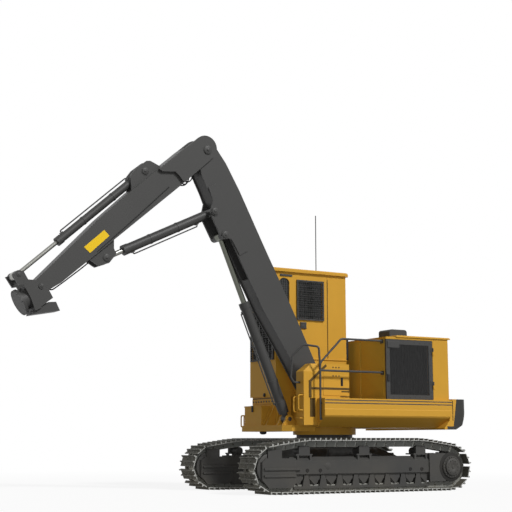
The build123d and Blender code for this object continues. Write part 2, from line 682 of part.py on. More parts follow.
with BuildPart() as bumper:
    shape = [
        (DECK_REAR_X, BUMPER_HIGH_Z), (BUMPER_REAR_X, BUMPER_HIGH_Z), (BUMPER_REAR_X, BUMPER_EDGE_Z),
        (BUMPER_FOOT_X, BUMPER_FOOT_Z), (BUMPER_FOOT_X + BUMPER_ROUND, BUMPER_LOW_Z),
        (FRAME_REAR_X, BUMPER_LOW_Z), *reversed(tail),
    ]
    extrude(outline(side(DECK_HALF), shape), amount=2 * DECK_HALF)
    with BuildSketch(level(BUMPER_LOW_Z - CUT)) as plan:
        with Locations(((BUMPER_REAR_X + FRAME_REAR_X) / 2, 0)):
            Rectangle(FRAME_REAR_X - BUMPER_REAR_X, 2 * DECK_HALF)
        fillet(plan.vertices().group_by(Axis.X)[0], BUMPER_ROUND)
    extrude(amount=BUMPER_HIGH_Z - BUMPER_LOW_Z + 2 * CUT, mode=Mode.INTERSECT)
save(bumper, "rear_bumper")

with BuildPart() as platform:
    plate = outline(level(PLATFORM_LOW_Z), [
        (FRAME_FRONT_X, PLATFORM_RIGHT_Y), (PLATFORM_FRONT_X - PLATFORM_CORNER, PLATFORM_RIGHT_Y),
        (PLATFORM_FRONT_X, PLATFORM_RIGHT_Y + PLATFORM_CORNER),
        (PLATFORM_FRONT_X, PLATFORM_LEFT_Y - PLATFORM_CORNER),
        (PLATFORM_FRONT_X - PLATFORM_CORNER, PLATFORM_LEFT_Y), (FRAME_FRONT_X, PLATFORM_LEFT_Y),
    ])
    extrude(plate, amount=PLATFORM_HIGH_Z - PLATFORM_LOW_Z)
    riser_right, riser_left = CAB_RIGHT_Y + RISER_SHEET, CAB_LEFT_Y
    block(RISER_REAR_X, RISER_FRONT_X, riser_right, riser_left, PLATFORM_HIGH_Z, CAB_LOW_Z)
    block(
        RISER_REAR_X - CUT, RISER_FRONT_X - RISER_SHEET, riser_right + RISER_SHEET, riser_left - RISER_SHEET,
        PLATFORM_HIGH_Z, CAB_LOW_Z - RISER_SHEET, mode=Mode.SUBTRACT,
    )
    gusset = [(RISER_FRONT_X, PLATFORM_HIGH_Z), (GUSSET_FRONT_X, PLATFORM_HIGH_Z), (RISER_FRONT_X, GUSSET_HIGH_Z)]
    for y in GUSSET_YS:
        extrude(outline(side(y), gusset), amount=GUSSET_SHEET)
    lug = [
        (LIFT_FOOT_X - 3 * EYE_RADIUS, PLATFORM_HIGH_Z), (LIFT_FOOT_X + 2 * EYE_RADIUS, PLATFORM_HIGH_Z),
        (LIFT_FOOT_X + EYE_RADIUS, LIFT_FOOT_Z), (LIFT_FOOT_X - EYE_RADIUS, LIFT_FOOT_Z),
    ]
    for y in (BOOM_Y + LUG_IN + LUG_SHEET, BOOM_Y - LUG_IN):
        extrude(outline(side(y), lug), amount=LUG_SHEET)
        extrude(disc(side(y, LIFT_FOOT_X, LIFT_FOOT_Z), LUG_BOSS), amount=LUG_SHEET)
    pin_half = LUG_IN + LUG_SHEET + HATCH_THICK
    extrude(disc(side(BOOM_Y + pin_half, LIFT_FOOT_X, LIFT_FOOT_Z), PIN), amount=2 * pin_half)
save(platform, "front_platform")

with BuildPart() as box:
    block(RISER_FRONT_X, BOX_FRONT_X, BOX_RIGHT_Y, BOX_LEFT_Y, PLATFORM_HIGH_Z, BOX_HIGH_Z - BOX_LID)
    block(
        RISER_FRONT_X, BOX_FRONT_X + HATCH_THICK, BOX_RIGHT_Y - HATCH_THICK, BOX_LEFT_Y + HATCH_THICK,
        BOX_HIGH_Z - BOX_LID, BOX_HIGH_Z,
    )
save(box, "tool_box")

# Left tower: a valve cabinet that carries the boom's foot pin
with BuildPart() as tower:
    shape = [
        (TOWER_REAR_X, DECK_Z), (TOWER_REAR_X, TOWER_HIGH_Z), (TOWER_FRONT_X - TOWER_CHAMFER_X, TOWER_HIGH_Z),
        (TOWER_FRONT_X, TOWER_HIGH_Z - TOWER_CHAMFER_Z), (TOWER_FRONT_X, PLATFORM_HIGH_Z),
        (FRAME_FRONT_X, PLATFORM_HIGH_Z), (FRAME_FRONT_X, DECK_Z),
    ]
    extrude(outline(side(TOWER_OUT), shape), amount=TOWER_OUT - TOWER_IN)
    block(*HATCH_X, TOWER_OUT, TOWER_OUT + HATCH_THICK, *HATCH_Z)
    facet = outline(front(FRAME_FRONT_X), [
        (TOWER_OUT - FACET_Y, TOWER_HIGH_Z), (TOWER_OUT, TOWER_HIGH_Z), (TOWER_OUT, TOWER_HIGH_Z - FACET_Z),
    ])
    extrude(facet, amount=TOWER_FRONT_X - FRAME_FRONT_X, mode=Mode.SUBTRACT)
    block(*SLOT_X, TOWER_OUT - SLOT_DEEP, TOWER_OUT + CUT, *SLOT_Z, mode=Mode.SUBTRACT)
    extrude(disc(side(TOWER_IN, FOOT_X, FOOT_Z), FOOT_PIN), amount=TOWER_IN - CHEEK_OUT)
save(tower, "boom_tower_left")

# Hood
hood_top = HOOD_HIGH_Z - HOOD_SHEET
door_in = HOOD_HALF - HOOD_SHEET
with BuildPart() as hood_front:
    block(HOOD_FRONT_X - HOOD_SHEET, HOOD_FRONT_X, -HOOD_HALF, door_in - DOOR_GAP, DECK_Z, hood_top)
save(hood_front, "hood_front_panel")

with BuildPart() as hood_rear:
    block(HOOD_REAR_X, HOOD_REAR_X + HOOD_SHEET, -HOOD_HALF, HOOD_HALF, DECK_Z, hood_top)
    extrude(disc(front(HOOD_REAR_X - BULGE_OUT), BULGE_RADIUS, 0, BULGE_Z), amount=BULGE_OUT)
    fillet(hood_rear.edges().filter_by(GeomType.CIRCLE).sort_by(Axis.X)[0], BULGE_ROUND)
save(hood_rear, "hood_rear_panel")

with BuildPart() as hood_right:
    block(
        HOOD_REAR_X + HOOD_SHEET, HOOD_FRONT_X - HOOD_SHEET, -HOOD_HALF, -door_in, DECK_Z, hood_top,
    )
save(hood_right, "hood_right_panel")

hinge_y = HOOD_HALF + HINGE_OUT
hinge_x = GRILLE_REAR_X - DOOR_GAP / 2
grille_hinge_zs = (DECK_Z + 3 * HINGE_HIGH, hood_top - 4 * HINGE_HIGH)


def hinge_half(x, y, z, reach_x, skin_y):
    """One half of a hinge: a round knuckle at (x, y) and a leaf on the skin that reaches to reach_x."""
    extrude(disc(Plane(origin=(SLEW_X + x, y, z)), HINGE_RADIUS), amount=HINGE_HIGH)
    x0, x1 = sorted((x, reach_x))
    y0, y1 = sorted((skin_y, skin_y + (HINGE_LEAF if y > skin_y else -HINGE_LEAF)))
    block(x0, x1, y0, y1, z, z + HINGE_HIGH)


with BuildPart() as hood_left:
    block(HOOD_REAR_X + HOOD_SHEET, GRILLE_REAR_X - DOOR_GAP, door_in, HOOD_HALF, DECK_Z, hood_top)
    for z in grille_hinge_zs:
        hinge_half(hinge_x, hinge_y, z, hinge_x - HINGE_REACH, HOOD_HALF)
save(hood_left, "hood_left_panel")

with BuildPart() as hood_roof:
    block(HOOD_REAR_X, HOOD_FRONT_X, -HOOD_HALF, HOOD_HALF, hood_top, HOOD_HIGH_Z)
    block(
        HOOD_REAR_X - LIP_REAR, LIP_FRONT_X, -HOOD_HALF - LIP_OUT, HOOD_HALF + LIP_OUT,
        HOOD_HIGH_Z, HOOD_HIGH_Z + LIP_THICK,
    )
    chamfer(hood_roof.faces().sort_by(Axis.Z)[-1].edges(), LIP_THICK / 2)
save(hood_roof, "hood_roof")

grille_low, grille_high = DECK_Z + DOOR_GAP, hood_top - DOOR_GAP
with BuildPart() as grille:
    with BuildSketch(side(HOOD_HALF)) as mesh:
        with BuildLine():
            Polyline(
                (GRILLE_REAR_X, grille_low), (HOOD_FRONT_X, grille_low), (HOOD_FRONT_X, grille_high),
                (GRILLE_REAR_X, grille_high), close=True,
            )
        make_face()
        pitch = (HOOD_FRONT_X - GRILLE_REAR_X - 2 * GRILLE_RIM + GRILLE_BAR) / GRILLE_BARS
        with Locations(((GRILLE_REAR_X + HOOD_FRONT_X) / 2, (grille_low + grille_high) / 2)):
            with GridLocations(pitch, 1, GRILLE_BARS, 1):
                Rectangle(pitch - GRILLE_BAR, grille_high - grille_low - 2 * GRILLE_RIM, mode=Mode.SUBTRACT)
    extrude(amount=HOOD_SHEET)
    for z in grille_hinge_zs:
        hinge_half(hinge_x, hinge_y, z + HINGE_HIGH + HINGE_PLAY, hinge_x + HINGE_REACH, HOOD_HALF)
save(grille, "grille_door")

with BuildPart() as core:
    block(
        GRILLE_REAR_X + CORE_GAP, HOOD_FRONT_X - HOOD_SHEET - CORE_GAP, door_in - CORE_GAP - CORE_THICK,
        door_in - CORE_GAP, DECK_Z, hood_top - CORE_GAP,
    )
save(core, "radiator_core")

with BuildPart() as engine:
    block(*ENGINE_X, *ENGINE_Y, DECK_Z, ENGINE_HIGH_Z)
save(engine, "engine_block")

with BuildPart() as cleaner:
    block(*CLEANER_X, *CLEANER_Y, HOOD_HIGH_Z + LIP_THICK, HOOD_HIGH_Z + LIP_THICK + CLEANER_HIGH)
    fillet(cleaner.edges().filter_by(Axis.Y).sort_by(Axis.Z)[-2:], CLEANER_ROUND)
save(cleaner, "air_cleaner")

# Cab
door_hinge_x = DOOR_REAR_X - DOOR_GAP / 2
door_hinge_y = CAB_RIGHT_Y - HINGE_OUT
door_hinge_zs = (CAB_FLOOR_Z + 3 * HINGE_HIGH, HEAD_Z - 5 * HINGE_HIGH)
inner_right, inner_left = CAB_RIGHT_Y + CAB_WALL, CAB_LEFT_Y - CAB_WALL
FRONT_WINDOW = (inner_right + FRONT_POST, inner_left - FRONT_POST, SILL_Z, HEAD_Z)

with BuildPart() as cab_floor:
    block(CAB_REAR_X, CAB_FRONT_X, CAB_RIGHT_Y, CAB_LEFT_Y, CAB_LOW_Z, CAB_FLOOR_Z)
    block(
        CAB_REAR_X + CAB_FOOT, FRAME_FRONT_X, CAB_RIGHT_Y + CAB_FOOT, CAB_LEFT_Y - CAB_FOOT, DECK_Z, CAB_LOW_Z,
    )
save(cab_floor, "cab_floor")

with BuildPart() as cab_left:
    block(CAB_REAR_X, CAB_FRONT_X, inner_left, CAB_LEFT_Y, CAB_FLOOR_Z, CAB_HIGH_Z)
    for x0, x1, z0, z1 in (SIDE_WINDOW, CORNER_WINDOW):
        block(x0, x1, inner_left - CUT, CAB_LEFT_Y + CUT, z0, z1, mode=Mode.SUBTRACT)
    block(
        SEAM_X - SEAM, SEAM_X, CAB_LEFT_Y - SEAM, CAB_LEFT_Y + CUT, SILL_Z, CAB_HIGH_Z + CUT,
        mode=Mode.SUBTRACT,
    )
save(cab_left, "cab_left_wall")

with BuildPart() as cab_rear:
    block(CAB_REAR_X, CAB_REAR_X + CAB_WALL, inner_right, inner_left, CAB_FLOOR_Z, CAB_HIGH_Z)
    block(CAB_REAR_X - CUT, CAB_REAR_X + CAB_WALL + CUT, *REAR_WINDOW, mode=Mode.SUBTRACT)
save(cab_rear, "cab_rear_wall")

with BuildPart() as cab_front:
    block(CAB_FRONT_X - CAB_WALL, CAB_FRONT_X, inner_right, inner_left, CAB_FLOOR_Z, CAB_HIGH_Z)
    block(CAB_FRONT_X - CAB_WALL - CUT, CAB_FRONT_X + CUT, *FRONT_WINDOW, mode=Mode.SUBTRACT)
save(cab_front, "cab_front_wall")

with BuildPart() as cab_right:
    block(CAB_REAR_X, CAB_FRONT_X, CAB_RIGHT_Y, inner_right, CAB_FLOOR_Z, CAB_HIGH_Z)
    block(
        DOOR_REAR_X - DOOR_GAP, DOOR_FRONT_X + DOOR_GAP, CAB_RIGHT_Y - CUT, inner_right + CUT,
        CAB_FLOOR_Z - CUT, HEAD_Z + DOOR_GAP, mode=Mode.SUBTRACT,
    )
    x0, x1, z0, z1 = DOORSIDE_WINDOW
    block(x0, x1, CAB_RIGHT_Y - CUT, inner_right + CUT, z0, z1, mode=Mode.SUBTRACT)
    for z in door_hinge_zs:
        hinge_half(door_hinge_x, door_hinge_y, z, door_hinge_x - HINGE_REACH, CAB_RIGHT_Y)
save(cab_right, "cab_right_wall")

with BuildPart() as cab_roof:
    with BuildSketch(level(CAB_HIGH_Z)) as roof_plan:
        x0, x1 = CAB_REAR_X - ROOF_REAR, CAB_FRONT_X + ROOF_FRONT
        y0, y1 = CAB_RIGHT_Y - ROOF_RIGHT, CAB_LEFT_Y + ROOF_LEFT
        with Locations(((x0 + x1) / 2, (y0 + y1) / 2)):
            RectangleRounded(x1 - x0, y1 - y0, ROOF_ROUND)
    extrude(amount=ROOF_THICK)
    chamfer(cab_roof.faces().sort_by(Axis.Z)[-1].edges(), ROOF_EDGE)
save(cab_roof, "cab_roof")

door_window = (DOOR_REAR_X + DOOR_RIM, DOOR_FRONT_X - DOOR_RIM, DOOR_SILL_Z, HEAD_Z - DOOR_RIM)
with BuildPart() as cab_door:
    block(DOOR_REAR_X, DOOR_FRONT_X, CAB_RIGHT_Y, inner_right, CAB_FLOOR_Z + DOOR_GAP, HEAD_Z)
    x0, x1, z0, z1 = door_window
    block(x0, x1, CAB_RIGHT_Y - CUT, inner_right + CUT, z0, z1, mode=Mode.SUBTRACT)
    for z in door_hinge_zs:
        hinge_half(
            door_hinge_x, door_hinge_y, z + HINGE_HIGH + HINGE_PLAY, door_hinge_x + HINGE_REACH, CAB_RIGHT_Y,
        )
save(cab_door, "cab_door")


def pane_y(y, window):
    """Pane in the middle of a side wall at y."""
    x0, x1, z0, z1 = window
    block(x0, x1, y - GLASS / 2, y + GLASS / 2, z0, z1)


def pane_x(x, window):
    """Pane in the middle of a front or rear wall at x."""
    block(x - GLASS / 2, x + GLASS / 2, *window)


with BuildPart() as door_glass:
    pane_y(CAB_RIGHT_Y + CAB_WALL / 2, door_window)
save(door_glass, "cab_door_glass")

with BuildPart() as glass:
    pane_y(CAB_LEFT_Y - CAB_WALL / 2, SIDE_WINDOW)
    pane_y(CAB_LEFT_Y - CAB_WALL / 2, CORNER_WINDOW)
    pane_y(CAB_RIGHT_Y + CAB_WALL / 2, DOORSIDE_WINDOW)
    pane_x(CAB_FRONT_X - CAB_WALL / 2, FRONT_WINDOW)
    pane_x(CAB_REAR_X + CAB_WALL / 2, REAR_WINDOW)
save(glass, "cab_glass")

with BuildPart() as guards:
    for plane, (a0, a1, z0, z1), (wide_count, high_count) in (
        (side(CAB_LEFT_Y + GUARD_DEPTH), SIDE_WINDOW, SIDE_GUARD_CELLS),
        (front(CAB_FRONT_X), FRONT_WINDOW, FRONT_GUARD_CELLS),
    ):
        with BuildSketch(plane) as lattice:
            wide = (a1 - a0 + GUARD_STRIP) / wide_count
            high = (z1 - z0 + GUARD_STRIP) / high_count
            with Locations(((a0 + a1) / 2, (z0 + z1) / 2)):
                Rectangle(a1 - a0 + GUARD_BORDER, z1 - z0 + GUARD_BORDER)
                with GridLocations(wide, high, wide_count, high_count):
                    Rectangle(wide - GUARD_STRIP, high - GUARD_STRIP, mode=Mode.SUBTRACT)
        extrude(amount=GUARD_DEPTH)
save(guards, "window_guards")

with BuildPart() as chair:
    long, wide, high = CUSHION
    deep, back_wide, back_high = BACK
    rear = CHAIR_X - long / 2
    block(
        CHAIR_X - STAND[0] / 2, CHAIR_X + STAND[0] / 2, CHAIR_Y - STAND[1] / 2, CHAIR_Y + STAND[1] / 2,
        CAB_FLOOR_Z, CUSHION_Z,
    )
    block(rear, rear + long, CHAIR_Y - wide / 2, CHAIR_Y + wide / 2, CUSHION_Z, CUSHION_Z + high)
    block(
        rear - deep / 2, rear + deep / 2, CHAIR_Y - back_wide / 2, CHAIR_Y + back_wide / 2,
        CUSHION_Z + high, CUSHION_Z + high + back_high,
    )
save(chair, "operator_chair")

with BuildPart() as pods:
    for y in POD_YS:
        block(POD_X - POD[0] / 2, POD_X + POD[0] / 2, y - POD[1] / 2, y + POD[1] / 2, CAB_FLOOR_Z, POD_HIGH_Z)
save(pods, "control_pods")

# Working arm
boom_edges = (
    # along, back edge, front edge
    (900.0, 235.0, -255.0),
    (1600.0, 250.0, -318.0),
    (2700.0, 260.0, -318.0),
    (3750.0, 280.0, -313.0),
    (4300.0, 262.0, -298.0),
)


def boom_face(plane, inset):
    """Side view of the boom, drawn in by an inset all round."""
    foot, knuckle = FOOT_ROUND - inset, KNUCKLE_ROUND - inset
    with BuildSketch(plane) as sketch:
        with BuildLine():
            Polyline((0, foot), *[(u, back - inset) for u, back, _ in boom_edges], (BOOM_LENGTH, knuckle))
            RadiusArc((BOOM_LENGTH, knuckle), (BOOM_LENGTH, -knuckle), knuckle)
            Polyline(
                (BOOM_LENGTH, -knuckle), *[(u, low + inset) for u, _, low in reversed(boom_edges)], (0, -foot),
            )
            RadiusArc((0, -foot), (0, foot), foot)
        make_face()
    return sketch.sketch


lift_eye = on_boom(LIFT_EYE_X, LIFT_EYE_Z)
stick_foot = on_boom(STICK_FOOT_X, STICK_FOOT_Z)
with BuildPart() as boom:
    extrude(boom_face(boom_side(BOOM_Y + BOOM_HALF), BOOM_LIP), amount=2 * BOOM_HALF)
    for y in (BOOM_Y + BOOM_HALF, BOOM_Y - BOOM_HALF + BOOM_PLATE):
        extrude(boom_face(boom_side(y), 0.0), amount=BOOM_PLATE)
    start, end, roof = CHANNEL
    channel = [(start, roof), (start, -KNUCKLE_X), (end, -KNUCKLE_X), (end, roof)]
    extrude(
        outline(boom_side(BOOM_Y + CHANNEL_HALF), channel), amount=2 * CHANNEL_HALF, mode=Mode.SUBTRACT,
    )
    ear = [
        (4050, -290), (3800, -313), (3700, -400), (3640, -480), (3165, -480), (3105, -400), (3027, -305),
        (2700, -290), (2700, -100), (4050, -100),
    ]
    for y in (BOOM_Y + BOOM_HALF + LUG_SHEET / 2, BOOM_Y - BOOM_HALF + LUG_SHEET / 2):
        extrude(outline(boom_side(y), ear), amount=LUG_SHEET)
    boss_half = BOOM_HALF + BOSS_OUT
    extrude(disc(side(BOOM_Y + boss_half, FOOT_X, FOOT_Z), FOOT_BOSS), amount=2 * boss_half)
    extrude(disc(side(BOOM_Y + BOOM_HALF, KNUCKLE_X, KNUCKLE_Z), FOOT_BOSS), amount=2 * BOOM_HALF)
    for u, v in (lift_eye, stick_foot):
        for y in (BOOM_Y + boss_half, BOOM_Y - LUG_IN):
            extrude(disc(boom_side(y), LUG_BOSS, u, v), amount=boss_half - LUG_IN)
    extrude(disc(boom_side(BOOM_Y + LUG_IN), PIN, *stick_foot), amount=2 * LUG_IN)
    for x, z, radius in ((FOOT_X, FOOT_Z, FOOT_PIN), (KNUCKLE_X, KNUCKLE_Z, KNUCKLE_PIN)):
        plane = side(BOOM_Y + boss_half + CUT, x, z)
        extrude(disc(plane, radius + FIT_GAP), amount=2 * (boss_half + CUT), mode=Mode.SUBTRACT)
save(boom, "main_boom")

stick_top = ((330.0, 285.0), (1650.0, 285.0), (2450.0, 258.0), (STICK_LENGTH, TIP_ROUND))
stick_low = ((STICK_LENGTH, -TIP_ROUND), (3700.0, -170.0), (850.0, -190.0), (430.0, -165.0))
with BuildPart() as stick:
    cheek_in = BOOM_HALF + STICK_GAP
    with BuildSketch(stick_side(BOOM_Y + STICK_MID_HALF)) as web:
        with BuildLine():
            Polyline(*stick_top)
            RadiusArc(stick_top[-1], stick_low[0], TIP_ROUND)
            Polyline(*stick_low, stick_top[0])
        make_face()
    extrude(amount=2 * STICK_MID_HALF)
    with BuildSketch(Plane(origin=(SLEW_X + KNUCKLE_X, BOOM_Y, 0))) as plan:
        run = TIP_X - KNUCKLE_X
        past = run + 2 * TIP_ROUND
        with BuildLine():
            Polyline(
                (-STICK_LENGTH / 8, -STICK_MID_HALF), (run / 2, -STICK_MID_HALF), (run, -STICK_TIP_HALF),
                (past, -STICK_TIP_HALF), (past, STICK_TIP_HALF), (run, STICK_TIP_HALF),
                (run / 2, STICK_MID_HALF), (-STICK_LENGTH / 8, STICK_MID_HALF), close=True,
            )
        make_face()
    extrude(amount=2 * KNUCKLE_Z, mode=Mode.INTERSECT)
    cheek = ((0, 275), (1016, 283), (992, 214), (789, 63), (774, -30), (774, -185), (0, -170))
    for y in (BOOM_Y + cheek_in + CHEEK_SHEET, BOOM_Y - cheek_in):
        with BuildSketch(stick_side(y)) as cheek_face:
            with BuildLine():
                Polyline(*cheek)
                ThreePointArc(cheek[-1], (-222, 50), cheek[0])
            make_face()
        extrude(amount=CHEEK_SHEET)
    pin_half = cheek_in + CHEEK_SHEET + STICK_GAP
    extrude(disc(side(BOOM_Y + pin_half, KNUCKLE_X, KNUCKLE_Z), KNUCKLE_PIN), amount=2 * pin_half)
    low_lug = ((2450, -170), (2560, -300), (2590, -400), (2790, -440), (2970, -370), (3040, -170))
    top_lug = ((900, 280), (1000, 480), (1060, 520), (1320, 530), (1490, 490), (1640, 280))
    for place, shape, pinned in (
        (on_stick(STICK_EYE_X, STICK_EYE_Z), low_lug, False),
        (on_stick(TIP_FOOT_X, TIP_FOOT_Z), top_lug, True),
    ):
        for y in (BOOM_Y + LUG_IN + LUG_SHEET, BOOM_Y - LUG_IN):
            extrude(outline(stick_side(y), shape), amount=LUG_SHEET)
        for y in (BOOM_Y + LUG_IN + LUG_SHEET + STICK_GAP, BOOM_Y - LUG_IN):
            extrude(disc(stick_side(y), LUG_BOSS, *place), amount=LUG_SHEET + STICK_GAP)
        if pinned:
            extrude(disc(stick_side(BOOM_Y + LUG_IN), PIN, *place), amount=2 * LUG_IN)
    pin_half = HEAD_IN + HEAD_SHEET + 3 * STICK_GAP
    extrude(disc(side(BOOM_Y + pin_half, TIP_X, TIP_Z), PIN), amount=2 * pin_half)
save(stick, "stick")

with BuildPart() as head:
    head_half = HEAD_IN + HEAD_SHEET
    plate = (
        (497, 154), (317, 233), (229, 91), (111, 90), (-131, -60), (-203, -184), (62, -389), (301, 0), (375, -17),
    )
    for y in (BOOM_Y + head_half, BOOM_Y - HEAD_IN):
        extrude(outline(side(y, TIP_X, TIP_Z), plate), amount=HEAD_SHEET)
    for y in (BOOM_Y + head_half, BOOM_Y - LUG_IN):
        extrude(disc(side(y, TIP_EYE_X, TIP_EYE_Z), HEAD_BOSS), amount=head_half - LUG_IN)
    web = ((250, -20), (90, -410), (-20, -350), (20, -310), (200, 0))
    extrude(outline(side(BOOM_Y + head_half, TIP_X, TIP_Z), web), amount=2 * head_half)
    lean = radians(FLANGE_LEAN)
    flange = Plane(
        origin=(SLEW_X + TIP_X + FLANGE_X, BOOM_Y, TIP_Z + FLANGE_Z), x_dir=(0, 1, 0),
        z_dir=(cos(lean), 0, sin(lean)),
    )
    extrude(disc(flange, FLANGE_NECK), amount=FLANGE_NECK_LONG)
    extrude(disc(flange.offset(FLANGE_NECK_LONG), FLANGE_RADIUS), amount=FLANGE_LONG - FLANGE_NECK_LONG)
    wedge = ((130, -475), (-347, -383), (-273, -240), (-153, -250), (0, -345), (120, -420))
    extrude(outline(side(BOOM_Y + WEDGE_HALF, TIP_X, TIP_Z), wedge), amount=2 * WEDGE_HALF)
    with BuildSketch(flange.offset(FLANGE_LONG)) as holes:
        with PolarLocations(FLANGE_CIRCLE, FLANGE_HOLES):
            Circle(FLANGE_HOLE)
    extrude(amount=-(FLANGE_LONG - FLANGE_NECK_LONG), mode=Mode.SUBTRACT)
    plane = side(BOOM_Y + head_half + CUT, TIP_X, TIP_Z)
    extrude(disc(plane, PIN + FIT_GAP), amount=2 * (head_half + CUT), mode=Mode.SUBTRACT)
save(head, "tool_head")

# Cylinders: barrel reach is measured from the foot pin, the tail is the rod's inner end
cylinders = (
    # name, foot x, foot z, eye x, eye z, barrel radius, rod radius, barrel reach, rod tail, side of its line
    ("lift", LIFT_FOOT_X, LIFT_FOOT_Z, LIFT_EYE_X, LIFT_EYE_Z, 95.0, 50.0, 2270.0, 1150.0, -1),
    ("stick", STICK_FOOT_X, STICK_FOOT_Z, STICK_EYE_X, STICK_EYE_Z, 85.0, 45.0, 1870.0, 330.0, -1),
    ("tip", TIP_FOOT_X, TIP_FOOT_Z, TIP_EYE_X, TIP_EYE_Z, 70.0, 36.0, 2070.0, 1300.0, 1),
)
NECK_RADIUS = 55.0
BASE_AT = 120.0        # closed end of a barrel, from the foot pin
BORE_AT = 170.0
GLAND_LONG = 110.0
GLAND_OUT = 8.0
LINE_FROM = 330.0      # hard line: ports, from the foot pin and back from the gland
LINE_TO = 170.0
for name, foot_x, foot_z, eye_x, eye_z, barrel_radius, rod_radius, reach, tail_at, line_side in cylinders:
    length, lean = span(foot_x, foot_z, eye_x, eye_z)
    along_x, along_z = cos(radians(lean)), sin(radians(lean))

    def across(at):
        """Plane square to the cylinder, at a distance from its foot pin."""
        place = (SLEW_X + foot_x + at * along_x, BOOM_Y, foot_z + at * along_z)
        return Plane(origin=place, x_dir=(0, 1, 0), z_dir=(along_x, 0, along_z))

    def beside(at, out):
        """Point at a distance from the foot pin and out from the cylinder's axis, x from the slew axis."""
        out = line_side * out
        return foot_x + at * along_x - out * along_z, BOOM_Y, foot_z + at * along_z + out * along_x

    with BuildPart() as barrel:
        extrude(disc(side(BOOM_Y + EYE_HALF, foot_x, foot_z), EYE_RADIUS), amount=2 * EYE_HALF)
        extrude(disc(across(0), NECK_RADIUS), amount=BASE_AT)
        extrude(disc(across(BASE_AT), barrel_radius), amount=reach - BASE_AT)
        extrude(disc(across(reach - GLAND_LONG), barrel_radius + GLAND_OUT), amount=GLAND_LONG)
        line_end = reach - LINE_TO
        for at in (LINE_FROM, line_end):
            port = outline(side(BOOM_Y + PORT, foot_x, foot_z, lean), [
                (at - PORT, 0), (at + PORT, 0), (at + PORT, line_side * (barrel_radius + PORT / 2)),
                (at - PORT, line_side * (barrel_radius + PORT / 2)),
            ])
            extrude(port, amount=2 * PORT)
        out = barrel_radius + LINE_OUT
        tube(
            [beside(LINE_FROM, barrel_radius), beside(LINE_FROM, out), beside(line_end, out),
             beside(line_end, barrel_radius)], LINE, 2 * LINE,
        )
        extrude(disc(across(BORE_AT), rod_radius + FIT_GAP), amount=reach, mode=Mode.SUBTRACT)
        plane = side(BOOM_Y + EYE_HALF + CUT, foot_x, foot_z)
        extrude(disc(plane, PIN + FIT_GAP), amount=2 * (EYE_HALF + CUT), mode=Mode.SUBTRACT)
    save(barrel, f"{name}_barrel")

    with BuildPart() as rod:
        extrude(disc(across(tail_at), rod_radius), amount=length - tail_at)
        extrude(disc(side(BOOM_Y + EYE_HALF, eye_x, eye_z), EYE_RADIUS), amount=2 * EYE_HALF)
        plane = side(BOOM_Y + EYE_HALF + CUT, eye_x, eye_z)
        extrude(disc(plane, PIN + FIT_GAP), amount=2 * (EYE_HALF + CUT), mode=Mode.SUBTRACT)
    save(rod, f"{name}_rod")

# Rails: a bent tube along the deck, a mid rail, and a loop round the tower's front
with BuildPart() as rails:
    post_x = DECK_FRONT_X + RAIL + CUT
    jog_x, end_x, end_y = HOOD_FRONT_X + RAIL_JOG, HOOD_FRONT_X + RAIL, RAIL_Y - RAIL_JOG
    tube(
        [(post_x, RAIL_Y, RAIL_FOOT_Z), (post_x, RAIL_Y, TOWER_HIGH_Z), (RAIL_SLOPE_X, RAIL_Y, RAIL_TOP_Z),
         (jog_x, RAIL_Y, RAIL_TOP_Z), (end_x, end_y, RAIL_TOP_Z)], RAIL, RAIL_BEND,
    )
    tube(
        [(post_x, RAIL_Y, RAIL_MID_Z), (jog_x, RAIL_Y, RAIL_MID_Z), (end_x, end_y, RAIL_MID_Z)],
        RAIL, RAIL_BEND,
    )
    loop_y, loop_z = (TOWER_IN + TOWER_OUT) / 2, FOOT_Z - 2 * RAIL
    loop = [
        # x, y, z from the front post round the tower's corner to its front face
        (post_x, RAIL_Y, TOWER_HIGH_Z - RAIL_BEND), (post_x + 26, RAIL_Y, 2600), (1120, 1060, 2640),
        (1300, 965, 2440), (1310, loop_y, 2050), (1250, loop_y, loop_z), (TOWER_FRONT_X, loop_y, loop_z),
    ]
    tube(loop, RAIL, RAIL_BEND / 2)
    for z in (RAIL_TOP_Z, RAIL_MID_Z):
        block(
            HOOD_FRONT_X, end_x + CUT, end_y - 2 * RAIL, end_y + 2 * RAIL, z - 2 * RAIL, z + 2 * RAIL,
        )
    for z in (RAIL_FOOT_Z, DECK_Z - RAIL_BEND):
        block(DECK_FRONT_X, post_x, RAIL_Y - RAIL, RAIL_Y + RAIL, z, z + 2 * RAIL)
save(rails, "hand_rails")

with BuildPart() as grabs:
    for y, low in ((855, 1435), (1020, 1465)):
        out, high = TOWER_FRONT_X + GRAB_OUT, low + GRAB_HIGH
        tube([(TOWER_FRONT_X, y, low), (out, y, low), (out, y, high), (TOWER_FRONT_X, y, high)], GRAB, 3 * GRAB)
    step_x, step_y = PLATFORM_FRONT_X - PLATFORM_CORNER - 2 * RAIL, PLATFORM_RIGHT_Y - GRAB_OUT
    tube(
        [(step_x, PLATFORM_RIGHT_Y, STEP_LOW_Z), (step_x, step_y, STEP_LOW_Z), (step_x, step_y, STEP_HIGH_Z),
         (step_x, BOX_RIGHT_Y - HATCH_THICK, STEP_HIGH_Z)], GRAB, 3 * GRAB,
    )
save(grabs, "grab_handles")

with BuildPart() as antenna:
    plane = Plane(origin=(SLEW_X + ANTENNA_X, ANTENNA_Y, CAB_HIGH_Z + ROOF_THICK))
    extrude(disc(plane, ANTENNA_FOOT), amount=ANTENNA_FOOT)
    extrude(disc(plane, ANTENNA_RADIUS), amount=ANTENNA_LONG)
save(antenna, "antenna")
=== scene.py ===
"""Tracked log loader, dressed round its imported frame. Metres, +X forward, +Y left, +Z up."""
import math

import bpy
from mathutils import Matrix, Vector

